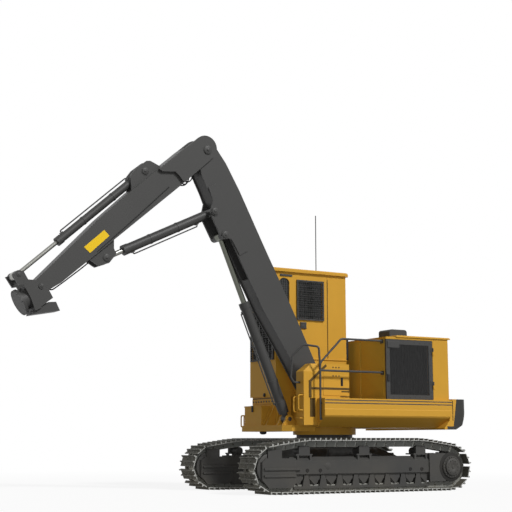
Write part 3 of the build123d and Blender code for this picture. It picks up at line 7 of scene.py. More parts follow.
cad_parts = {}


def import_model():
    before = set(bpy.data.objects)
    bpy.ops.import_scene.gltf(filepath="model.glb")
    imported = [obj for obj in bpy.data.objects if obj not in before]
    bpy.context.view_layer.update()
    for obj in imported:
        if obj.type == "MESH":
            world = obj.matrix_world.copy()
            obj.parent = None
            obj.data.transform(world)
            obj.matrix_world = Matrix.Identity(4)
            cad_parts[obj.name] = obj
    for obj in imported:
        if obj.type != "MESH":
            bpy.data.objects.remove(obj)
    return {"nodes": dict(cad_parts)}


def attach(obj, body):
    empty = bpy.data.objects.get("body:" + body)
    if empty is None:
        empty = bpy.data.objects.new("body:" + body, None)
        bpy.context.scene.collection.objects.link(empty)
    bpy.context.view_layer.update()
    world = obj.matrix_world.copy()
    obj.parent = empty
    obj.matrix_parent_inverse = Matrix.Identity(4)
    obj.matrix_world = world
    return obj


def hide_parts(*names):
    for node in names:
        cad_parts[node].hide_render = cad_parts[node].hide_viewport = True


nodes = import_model()["nodes"]
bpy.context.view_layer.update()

# The studio: a pale sweep of floor, a soft key lamp high on the machine's left, a weak fill lamp
# low in front, and an even sky. The floor looks pale to the camera but throws little light back
# up, so that undersides stay dark.
WHITE = (1.0, 1.0, 1.0, 1.0)
SKY_LIGHT = 0.19
LAMPS = (
    # name, strength, where its light comes from, how soft in degrees, whether it throws shadows
    ("key_lamp", 2.6, (-0.25, 0.72, 0.65), 9.0, True),
    ("fill_lamp", 0.50, (0.45, 0.85, 0.16), 30.0, False),
)
FLOOR_WIDE, FLOOR_ROUGH = 400.0, 0.9
FLOOR_GLOW, FLOOR_PALE = 0.88, 0.9
FLOOR_GREY = 0.25               # as the light from below sees it
FADE_FROM, FADE_TO = 7.0, 15.0  # how far from the machine the floor turns to plain white
CAMERA_AT = (9.8503, 18.2487, 0.93363)
CAMERA_TILT, CAMERA_TURN = 99.332, 150.391      # degrees
LENS, SENSOR, FARTHEST = 78.72, 36.0, 600.0
scene = bpy.context.scene
scene.view_settings.view_transform = "Standard"


def feed(tree, node, inputs):
    """Gives a node its inputs, as values or as other nodes' sockets."""
    for label, value in inputs.items():
        if isinstance(value, bpy.types.NodeSocket):
            tree.links.new(value, node.inputs[label])
        else:
            node.inputs[label].default_value = value


def add_node(tree, kind, inputs, **settings):
    """Shader node with its settings and its inputs."""
    node = tree.nodes.new("ShaderNode" + kind)
    for label, value in settings.items():
        setattr(node, label, value)
    feed(tree, node, inputs)
    return node


def object_point(tree):
    """Socket of the point on the surface, in the piece's own frame."""
    return add_node(tree, "TexCoord", {}).outputs["Object"]


def pale_rays(tree):
    """Socket that is 1 where the camera, gloss or glass looks at the background."""
    path = add_node(tree, "LightPath", {})
    total = path.outputs["Is Camera Ray"]
    for ray in ("Is Glossy Ray", "Is Transmission Ray"):
        total = add_node(tree, "Math", {0: total, 1: path.outputs[ray]}, operation="MAXIMUM").outputs[0]
    return total


def new_material(name):
    """Material, its node tree and its Principled shader."""
    material = bpy.data.materials.new(name)
    material.use_nodes = True
    return material, material.node_tree, material.node_tree.nodes["Principled BSDF"]


world = bpy.data.worlds.new("studio_sky")
scene.world = world
world.use_nodes = True
sky = world.node_tree
sky.nodes.clear()
dim = add_node(sky, "Background", {"Color": WHITE, "Strength": SKY_LIGHT})
pale = add_node(sky, "Background", {"Color": WHITE})
choose = add_node(sky, "MixShader", {0: pale_rays(sky), 1: dim.outputs[0], 2: pale.outputs[0]})
add_node(sky, "OutputWorld", {0: choose.outputs[0]})

for name, strength, light_from, soft, shadows in LAMPS:
    lamp = bpy.data.lights.new(name, "SUN")
    lamp.energy = strength
    lamp.angle = math.radians(soft)
    lamp.use_shadow = shadows
    hung = bpy.data.objects.new(name, lamp)
    hung.rotation_euler = Vector(light_from).to_track_quat("Z", "Y").to_euler()
    scene.collection.objects.link(hung)

bpy.ops.object.select_all(action="DESELECT")
bpy.ops.mesh.primitive_plane_add(size=FLOOR_WIDE)
floor = bpy.context.object
floor.name = "studio_floor"
floor_look, tree, base = new_material("pale_floor")
feed(tree, base, {"Base Color": (FLOOR_GREY, FLOOR_GREY, FLOOR_GREY, 1.0), "Roughness": FLOOR_ROUGH})
glow = add_node(tree, "Emission", {"Color": WHITE})
sheet = add_node(tree, "BsdfDiffuse", {"Color": (FLOOR_PALE, FLOOR_PALE, FLOOR_PALE, 1.0)})
away = add_node(tree, "VectorMath", {0: object_point(tree)}, operation="LENGTH").outputs["Value"]
fade = add_node(tree, "MapRange", {
    "Value": away, "From Min": FADE_FROM, "From Max": FADE_TO, "To Min": FLOOR_GLOW,
})
seen = add_node(tree, "MixShader", {0: fade.outputs[0], 1: sheet.outputs[0], 2: glow.outputs[0]})
mix = add_node(tree, "MixShader", {0: pale_rays(tree), 1: base.outputs[0], 2: seen.outputs[0]})
tree.links.new(mix.outputs[0], tree.nodes["Material Output"].inputs[0])
floor.data.materials.append(floor_look)

camera = bpy.data.objects.new("photo_camera", bpy.data.cameras.new("photo_camera"))
camera.location = CAMERA_AT
camera.rotation_euler = (math.radians(CAMERA_TILT), 0.0, math.radians(CAMERA_TURN))
camera.data.lens = LENS
camera.data.sensor_width = SENSOR
camera.data.clip_end = FARTHEST
scene.collection.objects.link(camera)
scene.camera = camera

# Track chains: forged link rails on turned pins, and rolled double-bar shoes, each held by four
# hexagon bolts. Bare steel, brown-grey with earth in the corners, and lighter along the grouser bars
# and link edges, partly rubbed bright and partly painted highlight.


def new_group(name, inputs, outputs):
    """Empty shader group with its given and result sockets, by the inputs' values and outputs' types."""
    made = bpy.data.node_groups.new(name, "ShaderNodeTree")
    for label, value in inputs.items():
        kind = {3: "Vector", 4: "Color"}[len(value)] if isinstance(value, tuple) else "Float"
        socket = made.interface.new_socket(label, in_out="INPUT", socket_type="NodeSocket" + kind)
        socket.default_value = value
    for label, kind in outputs.items():
        made.interface.new_socket(label, in_out="OUTPUT", socket_type="NodeSocket" + kind)
    return made, made.nodes.new("NodeGroupInput").outputs, made.nodes.new("NodeGroupOutput").inputs


def math_node(tree, operation, *values):
    """Output of a math node on numbers or sockets; a multiply-add is clamped to 0 and 1."""
    clamp = operation == "MULTIPLY_ADD"
    return add_node(tree, "Math", dict(enumerate(values)), operation=operation, use_clamp=clamp).outputs[0]


MIX_A, MIX_B, MIX_RESULT = 6, 7, 2      # the colour sockets among a mix node's sockets


def mix_colour(tree, share, first, second):
    """Output of a colour mix from first to second."""
    given = {"Factor": share, MIX_A: first, MIX_B: second}
    return add_node(tree, "Mix", given, data_type="RGBA").outputs[MIX_RESULT]


def noise(tree, point, scale, detail):
    """Output of a noise texture over a point."""
    return add_node(tree, "TexNoise", {"Vector": point, "Scale": scale, "Detail": detail}).outputs["Fac"]


def object_axes(tree):
    """X, Y and Z sockets of the point on the surface."""
    return add_node(tree, "SeparateXYZ", {0: object_point(tree)}).outputs


def weathering_group():
    """Paint or bare metal with lighter edges, partly rubbed wear and partly a painted edge highlight, cloudy
    tone and dust that gathers low down.
    """
    made, given, results = new_group(
        "weathering",
        {
            "Coat": (0.5, 0.5, 0.5, 1.0), "Rubbed and highlit": (0.6, 0.6, 0.6, 1.0), "Dust": (0.2, 0.17, 0.12, 1.0),
            "Rub and highlight": 0.5, "Edge": 0.008, "Dustiness": 0.3, "Dust height": 1.2, "Roughness": 0.45,
        },
        {"Colour": "Color", "Roughness": "Float", "Height": "Float"},
    )
    point = object_point(made)
    cloud = noise(made, point, 1.7, 4.0)
    grain = noise(made, point, 55.0, 6.0)
    speck = noise(made, point, 9.0, 8.0)
    # The lighter colour along edges is partly rubbed wear and partly a painted edge highlight.
    bevel = add_node(made, "Bevel", {"Radius": given["Edge"]}, samples=4)
    normal = add_node(made, "NewGeometry", {}).outputs["Normal"]
    dot = add_node(made, "VectorMath", {0: bevel.outputs[0], 1: normal}, operation="DOT_PRODUCT")
    bend = math_node(made, "SUBTRACT", 1.0, dot.outputs["Value"])
    edge = math_node(made, "MULTIPLY_ADD", bend, 7.0, -0.12)
    patch = math_node(made, "MULTIPLY_ADD", speck, 3.0, -0.9)
    rubbed_and_highlit = math_node(made, "MULTIPLY", math_node(made, "MULTIPLY", edge, patch), given["Rub and highlight"])
    low = math_node(made, "DIVIDE", object_axes(made)["Z"], given["Dust height"])
    settle = math_node(made, "MULTIPLY_ADD", low, -1.0, 1.0)
    drift = math_node(made, "MULTIPLY_ADD", cloud, 2.4, -0.6)
    dust = math_node(made, "MULTIPLY", math_node(made, "MULTIPLY", settle, drift), given["Dustiness"])
    shade = math_node(made, "MULTIPLY_ADD", cloud, 0.16, 0.9)
    tone = add_node(made, "HueSaturation", {"Color": given["Coat"], "Value": shade})
    coat = mix_colour(made, rubbed_and_highlit, tone.outputs[0], given["Rubbed and highlit"])
    rough = math_node(made, "ADD", given["Roughness"], math_node(made, "MULTIPLY", dust, 0.35))
    rough = math_node(made, "ADD", rough, math_node(made, "MULTIPLY", grain, 0.1))
    made.links.new(mix_colour(made, dust, coat, given["Dust"]), results["Colour"])
    made.links.new(rough, results["Roughness"])
    made.links.new(math_node(made, "ADD", grain, dust), results["Height"])
    return made


weathering = weathering_group()
GRAIN_BUMP, GRAIN_DEEP = 0.12, 0.002
SLOTS = {}      # the frame's material slot that each finish stands for


def weathered(
    name, coat, rubbed_and_highlit, slot=None, rub_and_highlight=0.2, dustiness=0.1, dust_height=2.0, rough=0.5, metallic=0.0,
    edge=0.008, specular=0.25,
):
    """Finish of a painted or bare metal piece with the weathering group."""
    material, tree, shader = new_material(name)
    SLOTS[material.name] = slot or name
    given = {
        "Coat": (*coat, 1.0), "Rubbed and highlit": (*rubbed_and_highlit, 1.0), "Rub and highlight": rub_and_highlight, "Edge": edge, "Dustiness": dustiness,
        "Dust height": dust_height, "Roughness": rough,
    }
    wear = add_node(tree, "Group", given, node_tree=weathering).outputs
    bump = add_node(tree, "Bump", {"Strength": GRAIN_BUMP, "Distance": GRAIN_DEEP, "Height": wear["Height"]})
    feed(tree, shader, {
        "Metallic": metallic, "Specular IOR Level": specular, "Base Color": wear["Colour"],
        "Roughness": wear["Roughness"], "Normal": bump.outputs[0],
    })
    return material


def recolour(material, mask, colour):
    """Lays another colour over a finish where a mask is 1."""
    tree = material.node_tree
    base = tree.nodes["Principled BSDF"].inputs["Base Color"]
    tree.links.new(mix_colour(tree, mask, base.links[0].from_socket, (*colour, 1.0)), base)


def coat_nodes(material, *names):
    """Gives CAD nodes that finish in place of their plain one."""
    for name in names:
        nodes[name].data.materials.clear()
        nodes[name].data.materials.append(material)


SLEW_X = -2.028
TRACK_MID = 1.155
SHOE_END = 0.274                # a shoe's bare end starts here, from the track's middle
BARE_END = (0.36, 0.36, 0.34)
track_steel = weathered(
    "track_steel", (0.085, 0.085, 0.072), (0.6, 0.6, 0.57), rub_and_highlight=1.0, dustiness=0.45, dust_height=1.1,
    edge=0.012,
)
tree = track_steel.node_tree
off_middle = math_node(tree, "SUBTRACT", math_node(tree, "ABSOLUTE", object_axes(tree)["Y"]), TRACK_MID)
at_end = math_node(tree, "GREATER_THAN", math_node(tree, "ABSOLUTE", off_middle), SHOE_END)
recolour(track_steel, at_end, BARE_END)
coat_nodes(track_steel, "track_left", "track_right")
WHEEL_X, WHEEL_Z = 1.965, 0.435
PIN_ROUND = 0.330
CARRY_X, CARRY_TOP = 1.280, 0.865
LINK_PITCH = 0.216


def chain_pins():
    """Chain pins evenly spaced round the loop: x from the slew axis, and z."""
    reach = math.hypot(WHEEL_X - CARRY_X, CARRY_TOP - WHEEL_Z)
    touch = math.atan2(CARRY_TOP - WHEEL_Z, CARRY_X - WHEEL_X) - math.acos(PIN_ROUND / reach)
    touch_x, touch_z = WHEEL_X + PIN_ROUND * math.cos(touch), WHEEL_Z + PIN_ROUND * math.sin(touch)
    low = WHEEL_Z - PIN_ROUND

    def round_wheel(x, start):
        """Length of an arc round a wheel, and the place at a distance along it."""
        def at(d):
            angle = start - d / PIN_ROUND
            return x + PIN_ROUND * math.cos(angle), WHEEL_Z + PIN_ROUND * math.sin(angle)
        return PIN_ROUND * (math.pi / 2 + touch), at

    def straight(a, b):
        """Length of a straight run, and the place at a distance along it."""
        long = math.dist(a, b)
        return long, lambda d: (a[0] + (b[0] - a[0]) * d / long, a[1] + (b[1] - a[1]) * d / long)

    runs = (
        round_wheel(-WHEEL_X, -math.pi / 2), straight((-touch_x, touch_z), (-CARRY_X, CARRY_TOP)),
        straight((-CARRY_X, CARRY_TOP), (CARRY_X, CARRY_TOP)),
        straight((CARRY_X, CARRY_TOP), (touch_x, touch_z)),
        round_wheel(WHEEL_X, touch), straight((WHEEL_X, low), (-WHEEL_X, low)),
    )
    whole = sum(long for long, at in runs)
    count = round(whole / LINK_PITCH)
    places = []
    for i in range(count):
        d = (i + 0.5) / count * whole
        for long, at in runs:
            if d <= long:
                places.append(at(d))
                break
            d -= long
    return places


def edit_all():
    """Edit mode on the active piece, with all of it selected."""
    bpy.ops.object.mode_set(mode="EDIT")
    bpy.ops.mesh.select_all(action="SELECT")


def faces_out():
    """Turns all faces of the active piece outwards and leaves edit mode."""
    edit_all()
    bpy.ops.mesh.normals_make_consistent(inside=False)
    bpy.ops.object.mode_set(mode="OBJECT")


def turned_piece(profile, sides):
    """Closed round or many-sided piece about local z, from its (radius, height) steps upwards."""
    radius, height = profile[0]
    bpy.ops.object.select_all(action="DESELECT")
    bpy.ops.mesh.primitive_circle_add(
        vertices=sides, radius=radius, fill_type="NGON", location=(0, 0, height),
    )
    bpy.ops.object.transform_apply(location=True, rotation=False, scale=False)
    edit_all()
    for (r0, z0), (r1, z1) in zip(profile, profile[1:]):
        bpy.ops.mesh.extrude_region_move(TRANSFORM_OT_translate={"value": (0, 0, z1 - z0)})
        bpy.ops.transform.resize(value=(r1 / r0, r1 / r0, 1.0))
    faces_out()
    bpy.ops.object.shade_smooth_by_angle(angle=math.radians(40))
    return bpy.context.object


def bevelled_block(low, high, edge, segments=2):
    """Block between two corners with all its edges bevelled."""
    bpy.ops.object.select_all(action="DESELECT")
    middle = [(a + b) / 2 for a, b in zip(low, high)]
    bpy.ops.mesh.primitive_cube_add(size=1.0, location=middle, scale=[b - a for a, b in zip(low, high)])
    bpy.ops.object.transform_apply(location=True, rotation=True, scale=True)
    edit_all()
    bpy.ops.mesh.bevel(offset=edge, segments=segments, affect="EDGES")
    bpy.ops.object.mode_set(mode="OBJECT")
    return bpy.context.object


def joined(pieces):
    """One piece from several."""
    bpy.ops.object.select_all(action="DESELECT")
    for piece in pieces:
        piece.select_set(True)
    bpy.context.view_layer.objects.active = pieces[0]
    bpy.ops.object.join()
    return bpy.context.object


def set_out(model, places):
    """Copies a model to every place, each copy with its own mesh, and joins them; uses the model up."""
    twins = []
    for place in places:
        twin = model.copy()
        twin.data = model.data.copy()
        twin.data.transform(place)
        scene.collection.objects.link(twin)
        twins.append(twin)
    bpy.data.objects.remove(model)
    return joined(twins)


def fit(piece, name, material, body="upper", slot=None):
    """Names a piece, gives it its finish, and fixes it to a body."""
    piece.name = name
    piece.data.name = name
    piece.data.materials.clear()
    piece.data.materials.append(material)
    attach(piece, body)
    slot or SLOTS[material.name]
    return piece


def fit_track(side, name, model, places, material):
    """Fits copies of a model to the undercarriage's left or right side."""
    fit(set_out(model, places), f"{name}_{side}", material, "undercarriage")


def bolt_head(radius, high):
    """Hexagon bolt head on local z = 0 with its top corners turned off."""
    return turned_piece(((radius, 0.0), (radius, 0.75 * high), (0.8 * radius, high)), 6)


HANDS = {"left": 1, "right": -1}        # which way out each side of the machine lies along y
SHOE_TOP = 0.069
SHOE_BOLT, SHOE_BOLT_HIGH = 0.017, 0.015
SHOE_BOLTS = ((-0.035, -0.073), (-0.035, 0.073), (0.066, -0.073), (0.066, 0.073))   # along, across
LINK_FACE, LINK_EDGE = 0.100, 0.004
LINK_LONG, LINK_PROUD, LINK_HIGH = 0.203, 0.006, 0.104
PIN_END = ((0.022, -0.109), (0.022, 0.107), (0.018, 0.109))
# The link plates get a lighter coat than the rest of the track steel: partly worn steel, partly painted
# light falling on the links.
link_steel_painted_light = weathered(
    "link_steel_painted_light", (0.20, 0.205, 0.19), (0.6, 0.6, 0.57), "track_steel", rub_and_highlight=0.8, dustiness=0.3,
    dust_height=0.9, rough=0.45,
)
pins = chain_pins()
for side, hand in HANDS.items():
    links = []
    for (x0, z0), (x1, z1) in zip(pins[-1:] + pins[:-1], pins):
        spot = Matrix.Translation((SLEW_X + (x0 + x1) / 2, hand * TRACK_MID, (z0 + z1) / 2))
        links.append(spot @ Matrix.Rotation(-math.atan2(z1 - z0, x1 - x0), 4, "Y"))
    spots = [link @ Matrix.Translation((x, y, SHOE_TOP)) for link in links for x, y in SHOE_BOLTS]
    fit_track(side, "shoe_bolts", bolt_head(SHOE_BOLT, SHOE_BOLT_HIGH), spots, track_steel)
    plate = bevelled_block(
        (-LINK_LONG / 2, LINK_FACE - LINK_PROUD / 2, -LINK_HIGH / 2),
        (LINK_LONG / 2, LINK_FACE + LINK_PROUD, LINK_HIGH / 2), LINK_EDGE, 1,
    )
    turns = (Matrix.Identity(4), Matrix.Rotation(math.pi, 4, "Z"))
    fit_track(side, "link_plates", plate, [link @ turn for link in links for turn in turns], link_steel_painted_light)
    across = Matrix.Rotation(math.pi / 2, 4, "X")
    spots = [Matrix.Translation((SLEW_X + x, hand * TRACK_MID, z)) @ across for x, z in pins]
    fit_track(side, "track_pins", turned_piece(PIN_END, 12), spots, track_steel)

# Track frames: welded box beams with roller guards, idler yokes, rollers and final drives, all
# sprayed the same dark grey and dulled by dust. Roller caps close the guard's windows, the final
# drives have bolted covers, and tie-down sockets are let into the beams. Near-black pieces are
# painted shade: in the tie-down sockets, in the gap at each idler yoke's front edge and on a disc
# round each final drive's hub.
undercarriage_grey = weathered(
    "undercarriage_grey", (0.043, 0.043, 0.042), (0.13, 0.13, 0.12), "undercarriage_paint", rub_and_highlight=0.5,
    dustiness=0.15, dust_height=1.2,
)
coat_nodes(
    undercarriage_grey, "track_frame_left", "track_frame_right", "idlers", "final_drives", "bottom_rollers",
    "carrier_rollers", "carbody", "slew_ring",
)
# Near-black finish for painted shade and painted shadow lines.
painted_shade_black = weathered(
    "painted_shade_black", (0.014, 0.014, 0.014), (0.05, 0.05, 0.05), "undercarriage_paint", dust_height=1.2,
    rough=0.7,
)
FACINGS = {
    # local x, y and z of a place on a face of the machine; z points out of the face
    "left": ((-1, 0, 0), (0, 0, 1), (0, 1, 0)),
    "right": ((1, 0, 0), (0, 0, 1), (0, -1, 0)),
    "front": ((0, 1, 0), (0, 0, 1), (1, 0, 0)),
    "rear": ((0, -1, 0), (0, 0, 1), (-1, 0, 0)),
    "up": ((1, 0, 0), (0, 1, 0), (0, 0, 1)),
    "down": ((1, 0, 0), (0, -1, 0), (0, 0, -1)),
}


def facing(way, x, y, z):
    """Place on a face of the machine, x from the slew axis."""
    turn = Matrix([Vector(axis) for axis in FACINGS[way]]).transposed().to_4x4()
    return Matrix.Translation((SLEW_X + x, y, z)) @ turn


def on_track(side, x, out, z):
    """Place on a track's outer side, out from the track's middle, x from the slew axis."""
    return facing(side, x, HANDS[side] * (TRACK_MID + out), z)


def ring_of(count, radius):
    """Places on a circle round local z."""
    out = Matrix.Translation((radius, 0, 0))
    return [Matrix.Rotation(2 * math.pi * i / count, 4, "Z") @ out for i in range(count)]


def flat_plate(corners, thick, edge):
    """Plate from its outline on local x and y, standing on local z = 0, its top edge bevelled."""
    bpy.ops.object.select_all(action="DESELECT")
    bpy.ops.mesh.primitive_circle_add(vertices=len(corners), radius=1.0, fill_type="NGON")
    plate = bpy.context.object
    for vertex, (x, y) in zip(plate.data.vertices, corners):
        vertex.co = (x, y, 0.0)
    edit_all()
    bpy.ops.mesh.extrude_region_move(TRANSFORM_OT_translate={"value": (0, 0, thick)})
    bpy.ops.mesh.bevel(offset=edge, segments=2, affect="EDGES")
    faces_out()
    return plate


def oblong(wide, high):
    """Corners of a rectangle about the origin."""
    return [(-wide / 2, -high / 2), (wide / 2, -high / 2), (wide / 2, high / 2), (-wide / 2, high / 2)]


def panels(wide, high, thick, edge, *places):
    """Rectangular plates with bevelled top edges, one standing on each place."""
    return set_out(flat_plate(oblong(wide, high), thick, edge), places)


ROLLER_XS = [0.35 * i for i in range(-4, 5)]
ROLLER_Z = 0.262
ROLLER_CAP = ((0.112, 0.070), (-0.112, 0.070), (-0.112, 0.0), (0.0, -0.112), (0.112, 0.0))
CAP_OUT, CAP_THICK, CAP_EDGE = 0.112, 0.018, 0.005
BEAM_FACE = 0.175
SOCKET = ((0.034, 0.0), (0.034, 0.006), (0.030, 0.010), (0.016, 0.010), (0.014, 0.004))
SOCKET_XS, SOCKET_Z = (1.225, 0.955, -1.025, -1.290), 0.405
PLUG = ((0.060, 0.0), (0.060, 0.002), (0.056, 0.004))
PLUG_X, PLUG_Z = 0.796, 0.478
HUB = (
    # radius, and distance from the track's middle, from the cover's face outwards
    (0.205, 0.194), (0.205, 0.222), (0.200, 0.227), (0.158, 0.227), (0.158, 0.256), (0.148, 0.264),
    (0.060, 0.264), (0.055, 0.260), (0.032, 0.260), (0.028, 0.268),
)
HUB_BOLTS = (
    # distance from the track's middle, count, ring radius
    (0.227, 20, 0.181), (0.264, 12, 0.118),
)
DRIVE_BOLT, DRIVE_BOLT_HIGH = 0.012, 0.010
# Disc painted near black round each hub: painted shade on the final drive's side.
HUB_SHADE_DISC = ((0.272, 0.190), (0.272, 0.198), (0.268, 0.200))
YOKE_SHADOW_STRIP = (0.026, 0.310, 0.008, 0.002)         # wide, high, thick, edge
YOKE_GAP_X, YOKE_GAP_Z, YOKE_GAP_OUT = 2.164, 0.405, 0.170
IDLER_FACE = ((0.272, 0.108), (0.272, 0.166), (0.262, 0.172), (0.120, 0.172), (0.110, 0.168))
LEDGES = (
    # rear and front end from the slew axis, and height
    (1.375, 2.115, 0.435), (1.480, 2.115, 0.320),
)
LEDGE_IN, LEDGE_OUT, LEDGE_HALF, LEDGE_EDGE = 0.190, 0.221, 0.018, 0.004
for side, hand in HANDS.items():
    spots = [on_track(side, x, CAP_OUT, ROLLER_Z) for x in ROLLER_XS]
    cap = flat_plate(ROLLER_CAP, CAP_THICK, CAP_EDGE)
    fit_track(side, "roller_caps", cap, spots, undercarriage_grey)
    # The sockets' near-black finish paints the shade in their hollows.
    spots = [on_track(side, x, BEAM_FACE, SOCKET_Z) for x in SOCKET_XS]
    fit_track(side, "beam_sockets", turned_piece(SOCKET, 12), spots, painted_shade_black)
    spots = [on_track(side, PLUG_X, BEAM_FACE, PLUG_Z)]
    fit_track(side, "beam_plug", turned_piece(PLUG, 32), spots, undercarriage_grey)
    spots = [facing(way, WHEEL_X, hand * TRACK_MID, WHEEL_Z) for way in HANDS]
    fit_track(side, "idler_faces", turned_piece(IDLER_FACE, 48), spots, undercarriage_grey)
    # A near-black strip paints the shadow in the gap between each yoke's front edge and the idler.
    out = Matrix.Translation((0, 0, YOKE_GAP_OUT))
    spots = [facing(way, YOKE_GAP_X, hand * TRACK_MID, YOKE_GAP_Z) @ out for way in HANDS]
    fit(panels(*YOKE_SHADOW_STRIP, *spots), f"yoke_gap_shadows_{side}", painted_shade_black, "undercarriage")
    near, far = sorted((hand * (TRACK_MID - LEDGE_IN), hand * (TRACK_MID - LEDGE_OUT)))
    ledges = [
        bevelled_block(
            (SLEW_X + x0, near, z - LEDGE_HALF), (SLEW_X + x1, far, z + LEDGE_HALF), LEDGE_EDGE,
        )
        for x0, x1, z in LEDGES
    ]
    fit(joined(ledges), f"inner_ledges_{side}", undercarriage_grey, "undercarriage")
    axle = on_track(side, -WHEEL_X, 0.0, WHEEL_Z)
    fit_track(side, "drive_hub", turned_piece(HUB, 48), [axle], undercarriage_grey)
    spots = []
    for face, count, radius in HUB_BOLTS:
        spots += [axle @ Matrix.Translation((0, 0, face)) @ place for place in ring_of(count, radius)]
    fit_track(side, "drive_bolts", bolt_head(DRIVE_BOLT, DRIVE_BOLT_HIGH), spots, undercarriage_grey)
    fit_track(side, "drive_shade_disc", turned_piece(HUB_SHADE_DISC, 48), [axle], painted_shade_black)

# Upper frame and deck tanks: welded plate in yellow sprayed paint. Two grey rubbing strips are
# pressed into grooves along each side, studded tread plates are screwed to the walkways, and the
# deck's yellow ends in a slanting edge on the charcoal bumper.
YELLOW = (0.600, 0.320, 0.036)
# The lighter yellow that this paint takes along edges is a painted edge highlight.
yellow_paint = weathered(
    "yellow_paint", YELLOW, (0.74, 0.43, 0.07), rub_and_highlight=0.45, rough=0.42, edge=0.01, specular=0.18,
)
coat_nodes(
    yellow_paint, "main_frame", "side_tank_left", "side_tank_right", "front_platform", "tool_box",
    "boom_tower_left", "hood_rear_panel", "hood_right_panel", "hood_left_panel", "hood_roof", "cab_floor",
    "cab_left_wall", "cab_rear_wall", "cab_front_wall", "cab_right_wall", "cab_roof", "cab_door",
    "grab_handles",
)
charcoal_paint = weathered(
    "charcoal_paint", (0.052, 0.0515, 0.050), (0.15, 0.15, 0.145), rub_and_highlight=0.4, rough=0.42,
)
coat_nodes(
    charcoal_paint, "air_cleaner", "hand_rails", "antenna", "main_boom", "stick", "tool_head", "lift_barrel",
    "stick_barrel", "tip_barrel",
)
BUMPER_EDGE, BUMPER_LEAN, BUMPER_LOW = -1.913, 0.157, 1.190     # the yellow's rear edge, slant and foot
STRIP_END = -1.950              # the strip below is yellow ahead of this
bumper_paint = weathered("bumper_paint", (0.027, 0.027, 0.025), (0.09, 0.09, 0.085), rub_and_highlight=0.5)
tree = bumper_paint.node_tree
axes = object_axes(tree)
leaning = math_node(tree, "ADD", axes["X"], math_node(tree, "MULTIPLY", axes["Z"], BUMPER_LEAN))
ahead = math_node(tree, "GREATER_THAN", leaning, SLEW_X + BUMPER_EDGE)
above = math_node(tree, "GREATER_THAN", axes["Z"], BUMPER_LOW)
under = math_node(tree, "GREATER_THAN", axes["X"], SLEW_X + STRIP_END)
recolour(bumper_paint, math_node(tree, "MAXIMUM", math_node(tree, "MULTIPLY", ahead, above), under), YELLOW)
coat_nodes(bumper_paint, "rear_bumper")
# Dark brown of yellow paint in shade, for painted shade in gaps and seams.
gap_shade_brown = weathered("gap_shade_brown", (0.085, 0.050, 0.010), (0.2, 0.12, 0.02), "yellow_paint", rough=0.55)
rubber_black = weathered(
    "rubber_black", (0.018, 0.018, 0.019), (0.05, 0.05, 0.05), "black_plastic", rough=0.62,
)

DECK_FACE = 1.300
STRIP_ZS, STRIP_HIGH = (1.645, 1.592), 0.019
STRIP_LET_IN, STRIP_THICK, STRIP_EDGE = 0.0085, 0.0102, 0.002
for side, rear_x, front_x in (("left", -2.070, 0.820), ("right", -2.070, 0.750)):
    face = HANDS[side] * (DECK_FACE - STRIP_LET_IN)
    spots = [facing(side, (rear_x + front_x) / 2, face, z) for z in STRIP_ZS]
    strips = panels(front_x - rear_x, STRIP_HIGH, STRIP_THICK, STRIP_EDGE, *spots)
    fit(strips, f"rubbing_strips_{side}", charcoal_paint)

# A dark brown strip on each side paints the shade in the seam at the deck's rear end.
SEAM_AT, SEAM_LOW, SEAM_HIGH, SEAM_WIDE, SEAM_LET_IN = -2.086, 1.300, 1.676, 0.016, 0.002
SEAM_THICK, SEAM_EDGE = 0.006, 0.001
spots = [
    facing(side, SEAM_AT, hand * (DECK_FACE - SEAM_LET_IN), (SEAM_LOW + SEAM_HIGH) / 2)
    for side, hand in HANDS.items()
]
seams = panels(SEAM_WIDE, SEAM_HIGH - SEAM_LOW, SEAM_THICK, SEAM_EDGE, *spots)
fit(seams, "bumper_seam_shade", gap_shade_brown)

DECK_TOP = 1.680
TREAD_THICK, TREAD_EDGE = 0.005, 0.002
STUD = ((0.013, 0.0), (0.008, 0.005))
STUD_STEP = 0.055
TREADS = (
    # side, rear and front end from the slew axis, right and left edge
    ("left", -0.56, 0.10, 0.84, 1.16), ("right", -0.56, 0.73, -1.27, -0.88),
)
for side, x0, x1, y0, y1 in TREADS:
    middle = facing("up", (x0 + x1) / 2, (y0 + y1) / 2, DECK_TOP)
    sheet = panels(x1 - x0, y1 - y0, TREAD_THICK, TREAD_EDGE, middle)
    columns, rows = int((x1 - x0) / STUD_STEP), int((y1 - y0) / STUD_STEP)
    stud_xs = [x0 + (i + 0.5) * (x1 - x0) / columns for i in range(columns)]
    stud_ys = [y0 + (j + 0.5) * (y1 - y0) / rows for j in range(rows)]
    spots = [facing("up", x, y, DECK_TOP + TREAD_THICK) for x in stud_xs for y in stud_ys]
    studs = set_out(turned_piece(STUD, 4), spots)
    fit(joined([sheet, studs]), f"walkway_tread_{side}", charcoal_paint)

# Front platform: a bolted flange and a folded ledge on the riser below the cab, rubber buffers above
# and below, capped pins in the lugs of the lift cylinder's foot, and a tool box with a bent bar handle.
RISER_FACE, RISER_MID = 1.130, -0.335
FLANGE_Z, FLANGE_THICK = 1.652, 0.012
LEDGE_Z, RISER_SEAM_Z = 1.795, 1.712


def on_riser(y, z, out=0.0):
    """Place on the riser's face, y from the riser's middle."""
    return facing("front", RISER_FACE + out, RISER_MID + y, z)


flange = panels(0.90, 0.095, FLANGE_THICK, 0.003, on_riser(0.0, FLANGE_Z))
ledge = panels(0.94, 0.024, 0.030, 0.004, on_riser(0.0, LEDGE_Z))
fit(joined([flange, ledge]), "riser_flange", yellow_paint)
spots = [on_riser(-0.40 + 0.1 * i, FLANGE_Z, FLANGE_THICK) for i in range(9)]
fit(set_out(bolt_head(0.017, 0.012), spots), "riser_bolts", charcoal_paint)
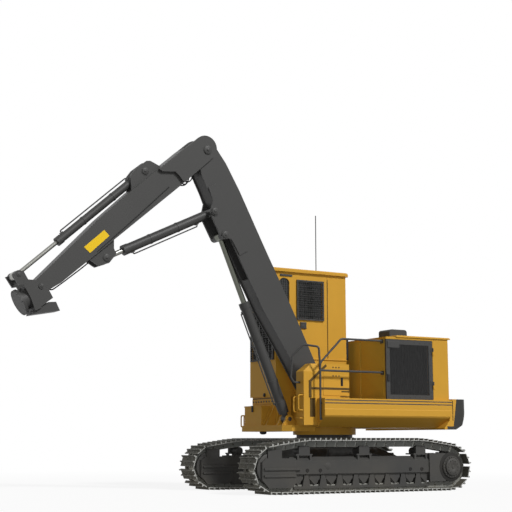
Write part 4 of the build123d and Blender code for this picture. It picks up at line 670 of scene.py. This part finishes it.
# A dark brown strip paints the shade in the gap between the flange and the ledge.
seam = panels(0.90, 0.020, SEAM_THICK, SEAM_EDGE, on_riser(0.0, RISER_SEAM_Z))
fit(seam, "riser_seam_shade", gap_shade_brown)
BUFFER = ((0.060, 0.0), (0.066, 0.020), (0.062, 0.036), (0.045, 0.050), (0.020, 0.056))
SMALL_BUFFER = 0.55
spots = [facing("down", 1.300, -0.095, 1.090)]
spots.append(facing("front", 1.165, -0.265, 1.775) @ Matrix.Scale(SMALL_BUFFER, 4))
fit(set_out(turned_piece(BUFFER, 20), spots), "platform_buffers", rubber_black)
ARM_Y = 0.550
LIFT_FOOT = (1.184, 1.310)
PIN_CAP = ((0.064, 0.0), (0.064, 0.010), (0.056, 0.016), (0.022, 0.016), (0.022, 0.024), (0.016, 0.028))


def pin_caps(name, body, *pins):
    """Caps on both ends of the arm's cross pins: (x from the slew axis, z), half the length, size."""
    spots = []
    for (x, z), half, size in pins:
        grow = Matrix.Scale(size, 4)
        spots += [facing(side, x, ARM_Y + hand * half, z) @ grow for side, hand in HANDS.items()]
    fit(set_out(turned_piece(PIN_CAP, 24), spots), name, charcoal_paint, body)


pin_caps("lift_foot_caps", "upper", (LIFT_FOOT, 0.126, 0.6))


def bent_tube(points, radius):
    """Round bar that follows its points smoothly; x from the slew axis."""
    bpy.ops.object.select_all(action="DESELECT")
    path = bpy.data.curves.new("bent_tube", "CURVE")
    path.dimensions = "3D"
    path.bevel_depth = radius
    path.bevel_resolution = 2
    path.use_fill_caps = True
    spline = path.splines.new("NURBS")
    spline.points.add(len(points) - 1)
    for point, (x, y, z) in zip(spline.points, points):
        point.co = (SLEW_X + x, y, z, 1.0)
    spline.order_u = 3
    spline.use_endpoint_u = True
    spline.resolution_u = 5
    bar = bpy.data.objects.new("bent_tube", path)
    scene.collection.objects.link(bar)
    bar.select_set(True)
    bpy.context.view_layer.objects.active = bar
    bpy.ops.object.convert(target="MESH")
    return bpy.context.object


HANDLE_X, HANDLE_BAR = 1.318, 0.013
BOX_HANDLE = (
    # y, z
    (-0.745, 1.185), (-0.860, 1.185), (-0.905, 1.185), (-0.915, 1.215), (-0.915, 1.360), (-0.905, 1.395),
    (-0.860, 1.395), (-0.745, 1.395),
)
fit(bent_tube([(HANDLE_X, y, z) for y, z in BOX_HANDLE], HANDLE_BAR), "tool_box_handle", yellow_paint)
fit(panels(0.05, 0.12, 0.018, 0.006, facing("front", 1.338, -0.43, 1.515)), "tool_box_hasp", rubber_black)

# Valve cabinet in the left tower: folded yellow sheet with a hinged side door. Dark brown strips paint
# the shade in the gaps round the doors and in a recessed slot, six vent plugs are set in two rows, and a
# black pull latch closes it.
TOWER_FACE, HATCH_FACE = 1.055, 1.063
GAP_SHADE_STRIPS = (
    # outline as x from the slew axis and z
    ((0.655, 2.296), (1.011, 1.995), (1.011, 1.690), (0.958, 1.690), (0.958, 1.976), (0.620, 2.266)),
    ((0.957, 1.838), (0.957, 1.878), (0.135, 1.878), (0.135, 1.838)),
    ((0.310, 1.796), (0.310, 1.822), (0.135, 1.822), (0.135, 1.796)),
    ((0.330, 1.712), (0.330, 1.726), (0.135, 1.726), (0.135, 1.712)),
)
GAP_LET_IN, GAP_THICK, GAP_EDGE = 0.001, 0.012, 0.002
strips = []
for points in GAP_SHADE_STRIPS:
    strip = flat_plate([(-x, z) for x, z in points], GAP_THICK, GAP_EDGE)
    strips.append(set_out(strip, [facing("left", 0.0, TOWER_FACE - GAP_LET_IN, 0.0)]))
SLOT_X, SLOT_Z, SLOT_FLOOR = 0.930, 1.512, 1.036
strips.append(panels(0.118, 0.332, 0.004, 0.001, facing("left", SLOT_X, SLOT_FLOOR, SLOT_Z)))
fit(joined(strips), "cabinet_gap_shade", gap_shade_brown)
VENT = ((0.013, 0.0), (0.013, 0.004), (0.009, 0.006))
spots = [facing("left", x, HATCH_FACE, z) for x in (0.490, 0.425, 0.360) for z in (2.246, 2.091)]
fit(set_out(turned_piece(VENT, 12), spots), "cabinet_vents", rubber_black)
spot = facing("left", 0.300, HATCH_FACE, 1.985)
latch = panels(0.045, 0.150, 0.010, 0.004, spot)
lever = panels(0.022, 0.110, 0.022, 0.006, spot)
fit(joined([latch, lever]), "cabinet_latch", rubber_black)
fit(panels(0.17, 0.016, 0.070, 0.004, facing("front", 1.120, 0.940, 1.325)), "tower_step", yellow_paint)

# Hood: folded yellow panels over the engine. The front panel is cross-broken sheet with a standing
# seam, the radiator door is a bolted charcoal frame with woven wire over its bars.
dark_mesh = weathered("dark_mesh", (0.03, 0.03, 0.03), (0.08, 0.08, 0.08), "grille_mesh", rough=0.6)
coat_nodes(dark_mesh, "radiator_core", "engine_block", "control_pods", "operator_chair")
# A duller, less orange copy of the yellow for the hood's front, which stands in shade: painted shade.
shade_side_yellow = weathered(
    "shade_side_yellow", (0.53, 0.34, 0.046), (0.7, 0.43, 0.07), "yellow_paint", rub_and_highlight=0.45, rough=0.45,
    specular=0.18,
)
coat_nodes(shade_side_yellow, "hood_front_panel")
HOOD_FRONT, HOOD_FACE = -0.600, 1.220
SHEETS = (
    # right edge, left edge, low edge, high edge
    (0.425, 1.130, 2.275, 2.745), (0.425, 1.130, 1.745, 2.225), (-0.300, 0.345, 1.745, 2.225),
    (-0.300, 0.345, 2.275, 2.745),
)
SHEET_THICK, SHEET_EDGE, CROSS_BREAK = 0.004, 0.001, 0.012


def pick(test):
    """Edit mode on the active piece, with only the faces selected that pass a test."""
    mesh = bpy.context.object.data
    bpy.ops.object.mode_set(mode="EDIT")
    bpy.ops.mesh.select_mode(type="FACE")
    bpy.ops.mesh.select_all(action="DESELECT")
    bpy.ops.object.mode_set(mode="OBJECT")
    for face in mesh.polygons:
        face.select = test(face)
    bpy.ops.object.mode_set(mode="EDIT")


sheets = []
for y0, y1, z0, z1 in SHEETS:
    middle = facing("front", HOOD_FRONT, (y0 + y1) / 2, (z0 + z1) / 2)
    sheets.append(panels(y1 - y0, z1 - z0, SHEET_THICK, SHEET_EDGE, middle))
    pick(lambda face: face.normal.x > 0.99 and face.center.x > SLEW_X + HOOD_FRONT + 0.75 * SHEET_THICK)
    bpy.ops.mesh.poke(offset=CROSS_BREAK)
    bpy.ops.object.mode_set(mode="OBJECT")
seam = panels(0.030, 1.100, 0.022, 0.003, facing("front", HOOD_FRONT, 0.385, 2.245))
fit(joined([*sheets, seam]), "hood_front_sheets", shade_side_yellow)

GRILLE_LOW, GRILLE_HIGH = (-1.602, 1.774), (-0.688, 2.716)      # x from the slew axis, and z
SHADE_BEHIND_WIRE = (0.012, 0.012, 0.012)


def inside_group():
    """Mask that is 1 inside a box given by its low and high corners."""
    made, given, results = new_group(
        "inside_box", {"Low": (0.0, 0.0, 0.0), "High": (1.0, 1.0, 1.0)}, {"Mask": "Float"},
    )
    point = object_axes(made)
    low, high = [add_node(made, "SeparateXYZ", {0: given[label]}).outputs for label in ("Low", "High")]
    mask = 1.0
    for axis in ("X", "Y", "Z"):
        mask = math_node(made, "MULTIPLY", mask, math_node(made, "GREATER_THAN", point[axis], low[axis]))
        mask = math_node(made, "MULTIPLY", mask, math_node(made, "LESS_THAN", point[axis], high[axis]))
    made.links.new(mask, results["Mask"])
    return made


inside_box = inside_group()


def shade_inside_boxes(name, *boxes):
    """Charcoal finish with painted shade: near black inside boxes given by their low and high corners; x
    from the slew axis.
    """
    material = charcoal_paint.copy()
    material.name = name
    for corners in boxes:
        low, high = [(SLEW_X + x, y, z) for x, y, z in corners]
        box = add_node(material.node_tree, "Group", {"Low": low, "High": high}, node_tree=inside_box)
        recolour(material, box.outputs["Mask"], SHADE_BEHIND_WIRE)
    return material


# The grille door's bars behind the wire are painted near black, as shade.
opening = ((GRILLE_LOW[0], 1.0, GRILLE_LOW[1]), (GRILLE_HIGH[0], 1.3, GRILLE_HIGH[1]))
coat_nodes(shade_inside_boxes("grille_paint_and_shade", opening), "grille_door")
WIRE, WIRE_STEP, WIRE_OUT = 0.0030, 0.0120, 0.002


def woven_wire(wide, tall, wire, columns, rows):
    """Woven wire panel on local x and y: straight round wires, the rows laid over the columns."""
    upright = turned_piece(((wire, 0.0), (wire, tall)), 6)
    lying = turned_piece(((wire, 0.0), (wire, wide)), 6)
    up = Matrix.Rotation(-math.pi / 2, 4, "X")
    along = Matrix.Rotation(math.pi / 2, 4, "Y")
    across = [(i + 0.5) * wide / columns for i in range(columns)]
    heights = [(j + 0.5) * tall / rows for j in range(rows)]
    upright = set_out(upright, [Matrix.Translation((x, 0.0, 0.0)) @ up for x in across])
    lying = set_out(lying, [Matrix.Translation((0.0, z, 1.6 * wire)) @ along for z in heights])
    return joined([upright, lying])


wide, tall = GRILLE_HIGH[0] - GRILLE_LOW[0], GRILLE_HIGH[1] - GRILLE_LOW[1]
wires = woven_wire(wide, tall, WIRE, round(wide / WIRE_STEP), round(tall / WIRE_STEP))
wires = set_out(wires, [facing("left", GRILLE_HIGH[0], HOOD_FACE + WIRE_OUT, GRILLE_LOW[1])])
fit(wires, "grille_wire", dark_mesh, "grille_door")
RIM_X, RIM_Z = (-1.646, -0.644), (1.730, 2.760)
bolt_zs = [RIM_Z[0] + (RIM_Z[1] - RIM_Z[0]) * i / 10 for i in range(11)]
bolt_xs = [RIM_X[0] + (RIM_X[1] - RIM_X[0]) * i / 8 for i in range(1, 8)]
spots = [facing("left", x, HOOD_FACE, z) for x in RIM_X for z in bolt_zs]
spots += [facing("left", x, HOOD_FACE, z) for z in RIM_Z for x in bolt_xs]
fit(set_out(bolt_head(0.010, 0.007), spots), "grille_bolts", charcoal_paint, "grille_door")
plate = panels(0.275, 0.120, 0.016, 0.005, facing("left", -0.763, HOOD_FACE, 2.706))
fit(plate, "grille_corner_plate", charcoal_paint, "grille_door")
pull = panels(0.050, 0.130, 0.020, 0.006, facing("left", -0.642, HOOD_FACE, 2.080))
fit(pull, "grille_pull", rubber_black, "grille_door")

# Hood's right side and back: two columns of louvres are pressed out of the right panel for the
# cooling air, and two black pulls are screwed to the rear panel.
SLAT = ((0.0, 0.0), (0.36, 0.0), (0.36, 0.045), (0.0, 0.045))
SLAT_OUT, SLAT_EDGE = 0.018, 0.006
SLAT_XS, SLAT_ZS = (-1.86, -1.34), [1.98 + 0.075 * i for i in range(9)]
spots = [facing("right", x, -HOOD_FACE, z) for x in SLAT_XS for z in SLAT_ZS]
fit(set_out(flat_plate(SLAT, SLAT_OUT, SLAT_EDGE), spots), "hood_louvres", yellow_paint)
pulls = panels(0.060, 0.160, 0.022, 0.007, *[facing("rear", -2.070, y, 2.300) for y in (-0.85, 0.85)])
fit(pulls, "hood_rear_pulls", rubber_black)

# Cab: a welded yellow shell with dark tinted panes in rubber seals. Wire guards stand over the
# side and front windows, and the corner window has rounded upper corners and wire behind its pane.
glass, tree, pane = new_material("tinted_glass")
smear = math_node(tree, "MULTIPLY_ADD", noise(tree, object_point(tree), 3.5, 5.0), 1.8, -0.5)
tint = mix_colour(tree, smear, (0.014, 0.016, 0.016, 1.0), (0.032, 0.033, 0.030, 1.0))
rough = math_node(tree, "MULTIPLY_ADD", smear, 0.10, 0.04)
feed(tree, pane, {"Base Color": tint, "Roughness": rough})
coat_nodes(glass, "cab_glass", "cab_door_glass")


def pierced(piece, border):
    """Opens the active plate or ring along local z, and leaves a border round the hole."""
    pick(lambda face: abs(face.normal.z) > 0.99)
    bpy.ops.mesh.inset(thickness=border, depth=0.0)
    bpy.ops.mesh.bridge_edge_loops()
    faces_out()
    return piece


CAB_FACE, CAB_FRONT, CAB_REAR, CAB_RIGHT = 0.150, 1.165, -0.430, -0.830
SEALS = (
    # body, and its panes: facing, x from the slew axis, y, z, wide, high
    ("upper", (("rear", CAB_REAR, -0.340, 3.425, 0.660, 0.990),
               ("right", -0.060, CAB_RIGHT, 3.425, 0.420, 0.990))),
    ("cab_door", (("right", 0.6675, CAB_RIGHT, 3.1975, 0.695, 1.435),)),
)
SEAL_WIDE, SEAL_THICK, SEAL_EDGE = 0.034, 0.010, 0.003
for body, panes in SEALS:
    rings = []
    for way, x, y, z, wide, high in panes:
        ring = pierced(flat_plate(oblong(wide, high), SEAL_THICK, SEAL_EDGE), SEAL_WIDE)
        rings.append(set_out(ring, [facing(way, x, y, z)]))
    fit(joined(rings), f"window_seals_{body}", rubber_black, body)

SIDE_X, SIDE_Z = (0.120, 0.680), (3.220, 3.940)
FRONT_Y, FRONT_Z = (-0.750, 0.070), (2.450, 3.985)
QUARTER_X, QUARTER_Z = (0.860, 1.085), (2.450, 3.985)
# The guards' own bars inside the window openings are painted near black, as shade behind the wire.
openings = (
    ((SIDE_X[0], 0.1, SIDE_Z[0]), (SIDE_X[1], 0.2, SIDE_Z[1])),
    ((1.1, FRONT_Y[0], FRONT_Z[0]), (1.3, FRONT_Y[1], FRONT_Z[1])),
)
coat_nodes(shade_inside_boxes("guard_paint_and_shade", *openings), "window_guards")
GUARD_WIRE, GUARD_WIRE_OUT, PANE_WIRE_IN = 0.0036, 0.036, 0.018
GUARDS = (
    # name, place of the lower corner, window across, window up, columns, rows
    ("side_window_wire", facing("left", SIDE_X[1], CAB_FACE + GUARD_WIRE_OUT, SIDE_Z[0]),
     SIDE_X, SIDE_Z, 13, 17),
    ("corner_window_wire", facing("left", QUARTER_X[1], CAB_FACE - PANE_WIRE_IN, QUARTER_Z[0]),
     QUARTER_X, QUARTER_Z, 5, 36),
    ("front_window_wire", facing("front", CAB_FRONT + GUARD_WIRE_OUT, FRONT_Y[0], FRONT_Z[0]),
     FRONT_Y, FRONT_Z, 19, 36),
)
for name, spot, (a0, a1), (z0, z1), columns, rows in GUARDS:
    wires = woven_wire(a1 - a0, z1 - z0, GUARD_WIRE, columns, rows)
    fit(set_out(wires, [spot]), name, charcoal_paint, slot="grille_mesh")
ROUND, FILLET_DEEP = 0.100, 0.060
turns = [math.radians(angle) for angle in range(0, 91, 15)]
corner = [(0.0, 0.0)] + [(ROUND * (1 - math.sin(t)), ROUND * (math.cos(t) - 1)) for t in turns]
rear_spot, front_spot = [facing("left", x, CAB_FACE - FILLET_DEEP, QUARTER_Z[1]) for x in QUARTER_X]
mirror = Matrix.Scale(-1, 4, Vector((1, 0, 0)))
fillets = set_out(flat_plate(corner, FILLET_DEEP, 0.001), [rear_spot @ mirror, front_spot])
faces_out()
fit(fillets, "corner_window_fillets", yellow_paint)
GUARD_OUT, GUARD_RIM = 0.034, 0.012
front_ys = (FRONT_Y[0] - GUARD_RIM, FRONT_Y[1] + GUARD_RIM)
side_xs = (SIDE_X[0] - GUARD_RIM, SIDE_X[1] + GUARD_RIM)
low_row = [front_ys[0] + (front_ys[1] - front_ys[0]) * i / 7 for i in range(8)]
front_zs = [FRONT_Z[0] - GUARD_RIM + 0.195 * j for j in range(9)]
side_zs = [SIDE_Z[0] - GUARD_RIM + 0.186 * j for j in range(5)]
spots = [facing("front", CAB_FRONT + GUARD_OUT, y, front_zs[0]) for y in low_row]
spots += [facing("front", CAB_FRONT + GUARD_OUT, y, z) for y in front_ys for z in front_zs[1:]]
spots += [facing("left", x, CAB_FACE + GUARD_OUT, z) for x in side_xs for z in side_zs]
fit(set_out(bolt_head(0.009, 0.006), spots), "guard_bolts", charcoal_paint)

# Cab trim: a dark drip strip over the corner window, a louvred vent box below the side window, a
# folded ledge round the shell's lower half, and a rubber duct between the cab and the hood.
fit(panels(0.270, 0.038, 0.016, 0.004, facing("left", 0.935, CAB_FACE, 4.035)), "drip_strip", charcoal_paint)
VENT_X, VENT_Z, BLADE_OUT = 0.560, 3.092, 0.022
vent = panels(0.134, 0.126, 0.024, 0.005, facing("left", VENT_X, CAB_FACE, VENT_Z))
spots = [facing("left", VENT_X, CAB_FACE + BLADE_OUT, VENT_Z - 0.040 + 0.027 * i) for i in range(4)]
fit(joined([vent, panels(0.100, 0.016, 0.012, 0.004, *spots)]), "vent_box", charcoal_paint)
# A dark brown strip paints the shade in the cab's panel seam.
seam = panels(0.014, 1.520, SEAM_THICK, SEAM_EDGE, facing("left", 0.0, CAB_FACE, 3.248))
fit(seam, "cab_seam_shade", gap_shade_brown)
fit(panels(1.290, 0.022, 0.020, 0.005, facing("left", 0.215, CAB_FACE, 2.458)), "cab_ledge", yellow_paint)
duct = bevelled_block((SLEW_X - 0.495, 0.030, 2.460), (SLEW_X - 0.429, 0.140, 2.880), 0.018)
fit(duct, "cab_duct", rubber_black)

# Cab door, hinged on the machine's right: a cast black lever handle on a screwed rose. A round bar
# is bent and screwed to the wall behind the door as a grab.
rose = panels(0.060, 0.150, 0.012, 0.005, facing("right", 1.035, CAB_RIGHT, 2.380))
LEVER_BAR, GRAB_BAR = 0.012, 0.014
DOOR_LEVER = (
    # x from the slew axis, y, z
    (1.035, -0.840, 2.410), (1.035, -0.890, 2.410), (1.020, -0.905, 2.410), (0.930, -0.905, 2.405),
)
fit(joined([rose, bent_tube(DOOR_LEVER, LEVER_BAR)]), "door_handle", rubber_black, "cab_door")
GRAB_X = 0.165
GRAB = (
    # y, z
    (-0.828, 2.100), (-0.915, 2.100), (-0.915, 2.180), (-0.915, 2.720), (-0.915, 2.800), (-0.828, 2.800),
)
fit(bent_tube([(GRAB_X, y, z) for y, z in GRAB], GRAB_BAR), "cab_grab_bar", charcoal_paint)

# Operator's chair: foam pads in dark woven cloth on a bellows stand, with a hand lever on each
# control pod. The pads are blown up by cloth pressure from slightly smaller blocks.
THREAD_SCALE, WEAVE_BUMP, WEAVE_DEEP = 70.0, 0.3, 0.002
upholstery, tree, cloth_shader = new_material("upholstery")
SLOTS[upholstery.name] = "upholstery"
point = object_point(tree)
threads = [
    add_node(tree, "TexWave", {"Scale": THREAD_SCALE, "Vector": point}, bands_direction=axis).outputs["Fac"]
    for axis in ("X", "Y", "Z")
]
weave = math_node(tree, "MULTIPLY", math_node(tree, "ADD", threads[0], threads[2]), threads[1])
tint = mix_colour(tree, weave, (0.028, 0.028, 0.031, 1.0), (0.060, 0.060, 0.066, 1.0))
rough = math_node(tree, "ADD", 0.75, math_node(tree, "MULTIPLY", noise(tree, point, 18.0, 3.0), 0.2))
bump = add_node(tree, "Bump", {"Strength": WEAVE_BUMP, "Distance": WEAVE_DEEP, "Height": weave})
feed(tree, cloth_shader, {
    "Sheen Weight": 0.3, "Specular IOR Level": 0.15, "Base Color": tint, "Roughness": rough,
    "Normal": bump.outputs[0],
})
VOXEL, PRESSURE, STEPS = 0.014, 4.0, 20


def stuffed_pad(low, high, edge, most):
    """Foam pad: a bevelled block remeshed, blown up by pressure, and held to a most growth."""
    pad = bevelled_block(low, high, edge, 3)
    bpy.ops.object.modifier_add(type="REMESH")
    pad.modifiers["Remesh"].mode = "VOXEL"
    pad.modifiers["Remesh"].voxel_size = VOXEL
    bpy.ops.object.modifier_apply(modifier="Remesh")
    before = [vertex.co.copy() for vertex in pad.data.vertices]
    bpy.ops.object.modifier_add(type="CLOTH")
    cloth = pad.modifiers["Cloth"].settings
    cloth.use_pressure = True
    cloth.uniform_pressure_force = PRESSURE
    cloth.effector_weights.gravity = 0.0
    for step in range(1, STEPS + 1):
        scene.frame_set(step)
    bpy.ops.object.modifier_apply(modifier="Cloth")
    scene.frame_set(1)
    for vertex, start in zip(pad.data.vertices, before):
        move = vertex.co - start
        if move.length > most:
            vertex.co = start + move * (most / move.length)
    bpy.ops.object.modifier_add(type="SUBSURF")
    pad.modifiers["Subdivision"].levels = 1
    pad.modifiers["Subdivision"].render_levels = 1
    bpy.ops.object.modifier_apply(modifier="Subdivision")
    bpy.ops.object.shade_smooth()
    return pad


GROWTH, FILL = 0.022, 0.7
CHAIR_Y = -0.340
PADS = (
    # name, rear and front from the slew axis, half width, bottom, top, edge, the node it replaces
    ("seat_cushion", 0.150, 0.595, 0.235, 2.272, 2.368, 0.035, "operator_chair"),
    ("seat_back", 0.038, 0.122, 0.228, 2.420, 3.025, 0.032, None),
)
for name, x0, x1, half, z0, z1, edge, replaced in PADS:
    pad = stuffed_pad((SLEW_X + x0, CHAIR_Y - half, z0), (SLEW_X + x1, CHAIR_Y + half, z1), edge, GROWTH)
    fit(pad, name, upholstery)
    if replaced:
        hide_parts(replaced)
STAND_X = 0.350
STAND = (
    (0.280, 1.860), (0.280, 1.885), (0.250, 1.900), (0.262, 1.960), (0.240, 1.985), (0.262, 2.010),
    (0.240, 2.035), (0.262, 2.060), (0.240, 2.085), (0.262, 2.110), (0.250, 2.200), (0.280, 2.215),
    (0.280, 2.245),
)
stand = set_out(turned_piece(STAND, 4), [
    Matrix.Translation((SLEW_X + STAND_X, CHAIR_Y, 0.0)) @ Matrix.Rotation(math.pi / 4, 4, "Z"),
])
bracket = bevelled_block(
    (SLEW_X + 0.020, CHAIR_Y - 0.150, 2.230), (SLEW_X + 0.145, CHAIR_Y + 0.150, 2.430), 0.012,
)
fit(joined([stand, bracket]), "seat_stand", rubber_black)
LEVER = (
    (0.040, 0.0), (0.040, 0.012), (0.026, 0.030), (0.011, 0.050), (0.010, 0.120), (0.020, 0.135),
    (0.025, 0.190), (0.022, 0.235), (0.010, 0.246),
)
levers = set_out(turned_piece(LEVER, 16), [facing("up", 0.610, y, 2.520) for y in (-0.665, -0.015)])
fit(levers, "hand_levers", rubber_black)

# Working arm: charcoal box-section boom and stick. Its pins are capped at both ends, a blank yellow
# plate is riveted on the stick, a narrow near-black strip on its side paints the shadow along its lower
# flange, and formed lines lie under it.
KNUCKLE, HEAD_PIN = (2.960, 6.086), (5.965, 3.420)
LIFT_EYE, FOLD_FOOT, FOLD_EYE = (2.576, 4.572), (2.790, 4.980), (4.806, 3.990)
TIP_FOOT, TIP_EYE = (4.120, 5.583), (6.350, 3.580)
LUG_HALF, BOSS_HALF, HEAD_HALF = 0.124, 0.229, 0.199
pin_caps("boom_pin_caps", "boom", (LIFT_EYE, BOSS_HALF, 1.0), (FOLD_FOOT, BOSS_HALF, 1.0))
pin_caps(
    "stick_pin_caps", "stick", (KNUCKLE, 0.249, 1.25), (FOLD_EYE, LUG_HALF, 1.0), (TIP_FOOT, LUG_HALF, 1.0),
    (HEAD_PIN, 0.214, 0.55),
)
pin_caps("head_pin_caps", "tool_head", (TIP_EYE, HEAD_HALF, 0.6))
STICK_LEAN = math.radians(-41.58)
STICK_HALF, STICK_TIP_HALF, STICK_RUN = 0.195, 0.140, 3.005


def on_stick(u, v, y):
    """Point along and across the stick, x from the slew axis."""
    c, s = math.cos(STICK_LEAN), math.sin(STICK_LEAN)
    return KNUCKLE[0] + u * c - v * s, y, KNUCKLE[1] + u * s + v * c


def stick_face(u, v):
    """How far the stick's sides stand from the arm's middle plane at a point."""
    run = (on_stick(u, v, 0.0)[0] - KNUCKLE[0]) / STICK_RUN
    return STICK_HALF - (STICK_HALF - STICK_TIP_HALF) * max(0.0, 2.0 * run - 1.0)


LET_IN = 0.001


def stick_plate(name, outline, thick, material, slot=None):
    """Plate laid on both of the stick's sloping sides, from its outline along and across the stick."""
    made = []
    for hand in HANDS.values():
        plate = flat_plate(outline, thick, 0.2 * thick)
        for vertex in plate.data.vertices:
            u, v, proud = vertex.co
            x, y, z = on_stick(u, v, ARM_Y + hand * (stick_face(u, v) - LET_IN + proud))
            vertex.co = (SLEW_X + x, y, z)
        faces_out()
        made.append(plate)
    fit(joined(made), name, material, "stick", slot)


plate_yellow = weathered(
    "plate_yellow", (0.86, 0.56, 0.012), (0.8, 0.6, 0.1), "yellow_paint", dustiness=0.05, rough=0.35,
)
BLANK_PLATE = ((3.002, 0.049), (2.982, -0.093), (2.518, -0.076), (2.525, 0.057))
stick_plate("blank_plate", BLANK_PLATE, 0.006, plate_yellow)
# Near-black strip on the stick's sides: a painted shadow line.
STICK_SHADOW_STRIP = (
    (1.05, -0.070), (1.50, -0.093), (2.10, -0.119), (2.87, -0.150), (2.87, -0.162), (2.10, -0.137),
    (1.50, -0.111), (1.05, -0.088),
)
stick_plate("stick_shadow_strip", STICK_SHADOW_STRIP, 0.010, painted_shade_black, "charcoal_paint")
line_black = weathered(
    "line_black", (0.012, 0.012, 0.012), (0.04, 0.04, 0.04), "black_plastic", dustiness=0.05,
)
LINES = (
    # name, radius, and each line's points along and across the stick, and y from the arm's middle plane
    ("stick_loops", 0.012, (
        ((0.46, -0.16, 0.06), (0.48, -0.21, 0.07), (0.53, -0.25, 0.07),
         (0.60, -0.25, 0.06), (0.64, -0.22, 0.05), (0.66, -0.17, 0.04)),
        ((0.50, -0.16, 0.00), (0.51, -0.20, 0.00), (0.56, -0.23, 0.00),
         (0.63, -0.26, 0.01), (0.69, -0.23, 0.01), (0.71, -0.17, 0.00)),
        ((0.54, -0.16, -0.06), (0.55, -0.22, -0.06), (0.60, -0.27, -0.06),
         (0.68, -0.25, -0.05), (0.74, -0.20, -0.05), (0.75, -0.17, -0.05)),
    )),
    ("stick_hard_line", 0.011, (
        ((3.02, -0.16, 0.09), (3.05, -0.205, 0.09), (3.12, -0.215, 0.09), (3.55, -0.200, 0.08),
         (3.80, -0.188, 0.06), (3.88, -0.178, 0.05), (3.90, -0.140, 0.05)),
    )),
)
for name, radius, lines in LINES:
    tubes = [bent_tube([on_stick(u, v, ARM_Y + y) for u, v, y in points], radius) for points in lines]
    fit(joined(tubes), name, line_black, "stick")

# Cylinders: painted barrels with ground and hard-chromed piston rods. Steel bands round each barrel
# hold its hard line, and the lift barrel has a wide collar at its foot.
chrome = weathered(
    "chrome", (0.26, 0.26, 0.24), (0.2, 0.2, 0.19), rub_and_highlight=0.1, dustiness=0.05, dust_height=1.5, rough=0.22,
    metallic=1.0,
)
coat_nodes(chrome, "stick_rod", "tip_rod")
# The lift rod's darker chrome is painted shade on the rod.
shaded_chrome = weathered(
    "shaded_chrome", (0.12, 0.125, 0.105), (0.2, 0.2, 0.19), rub_and_highlight=0.1, dustiness=0.05, dust_height=1.5,
    rough=0.26, metallic=1.0,
)
coat_nodes(shaded_chrome, "lift_rod")
CYLINDERS = (
    # name, foot, eye, barrel radius, bands as their place from the foot pin and half their width
    ("lift", LIFT_FOOT, LIFT_EYE, 0.095, ((0.27, 0.080), (0.75, 0.018), (1.55, 0.018))),
    ("stick", FOLD_FOOT, FOLD_EYE, 0.085, ((0.72, 0.018), (1.30, 0.018))),
    ("tip", TIP_FOOT, TIP_EYE, 0.070, ((0.75, 0.018), (1.45, 0.018))),
)
BAND_OUT, BAND_IN, BAND_WALL, BAND_EDGE = 0.006, 0.002, 0.006, 0.004
for name, (x0, z0), (x1, z1), radius, bands in CYLINDERS:
    lean = math.atan2(z1 - z0, x1 - x0)
    tilt = Matrix.Rotation(math.pi / 2 - lean, 4, "Y")
    inner, outer = radius - BAND_IN, radius + BAND_OUT
    rings = []
    for place, half in bands:
        shoulder = half - BAND_EDGE
        band = turned_piece(((inner, -half), (outer, -shoulder), (outer, shoulder), (inner, half)), 32)
        point = (SLEW_X + x0 + place * math.cos(lean), ARM_Y, z0 + place * math.sin(lean))
        rings.append(set_out(pierced(band, BAND_WALL), [Matrix.Translation(point) @ tilt]))
    fit(joined(rings), f"{name}_bands", charcoal_paint, f"{name}_barrel")
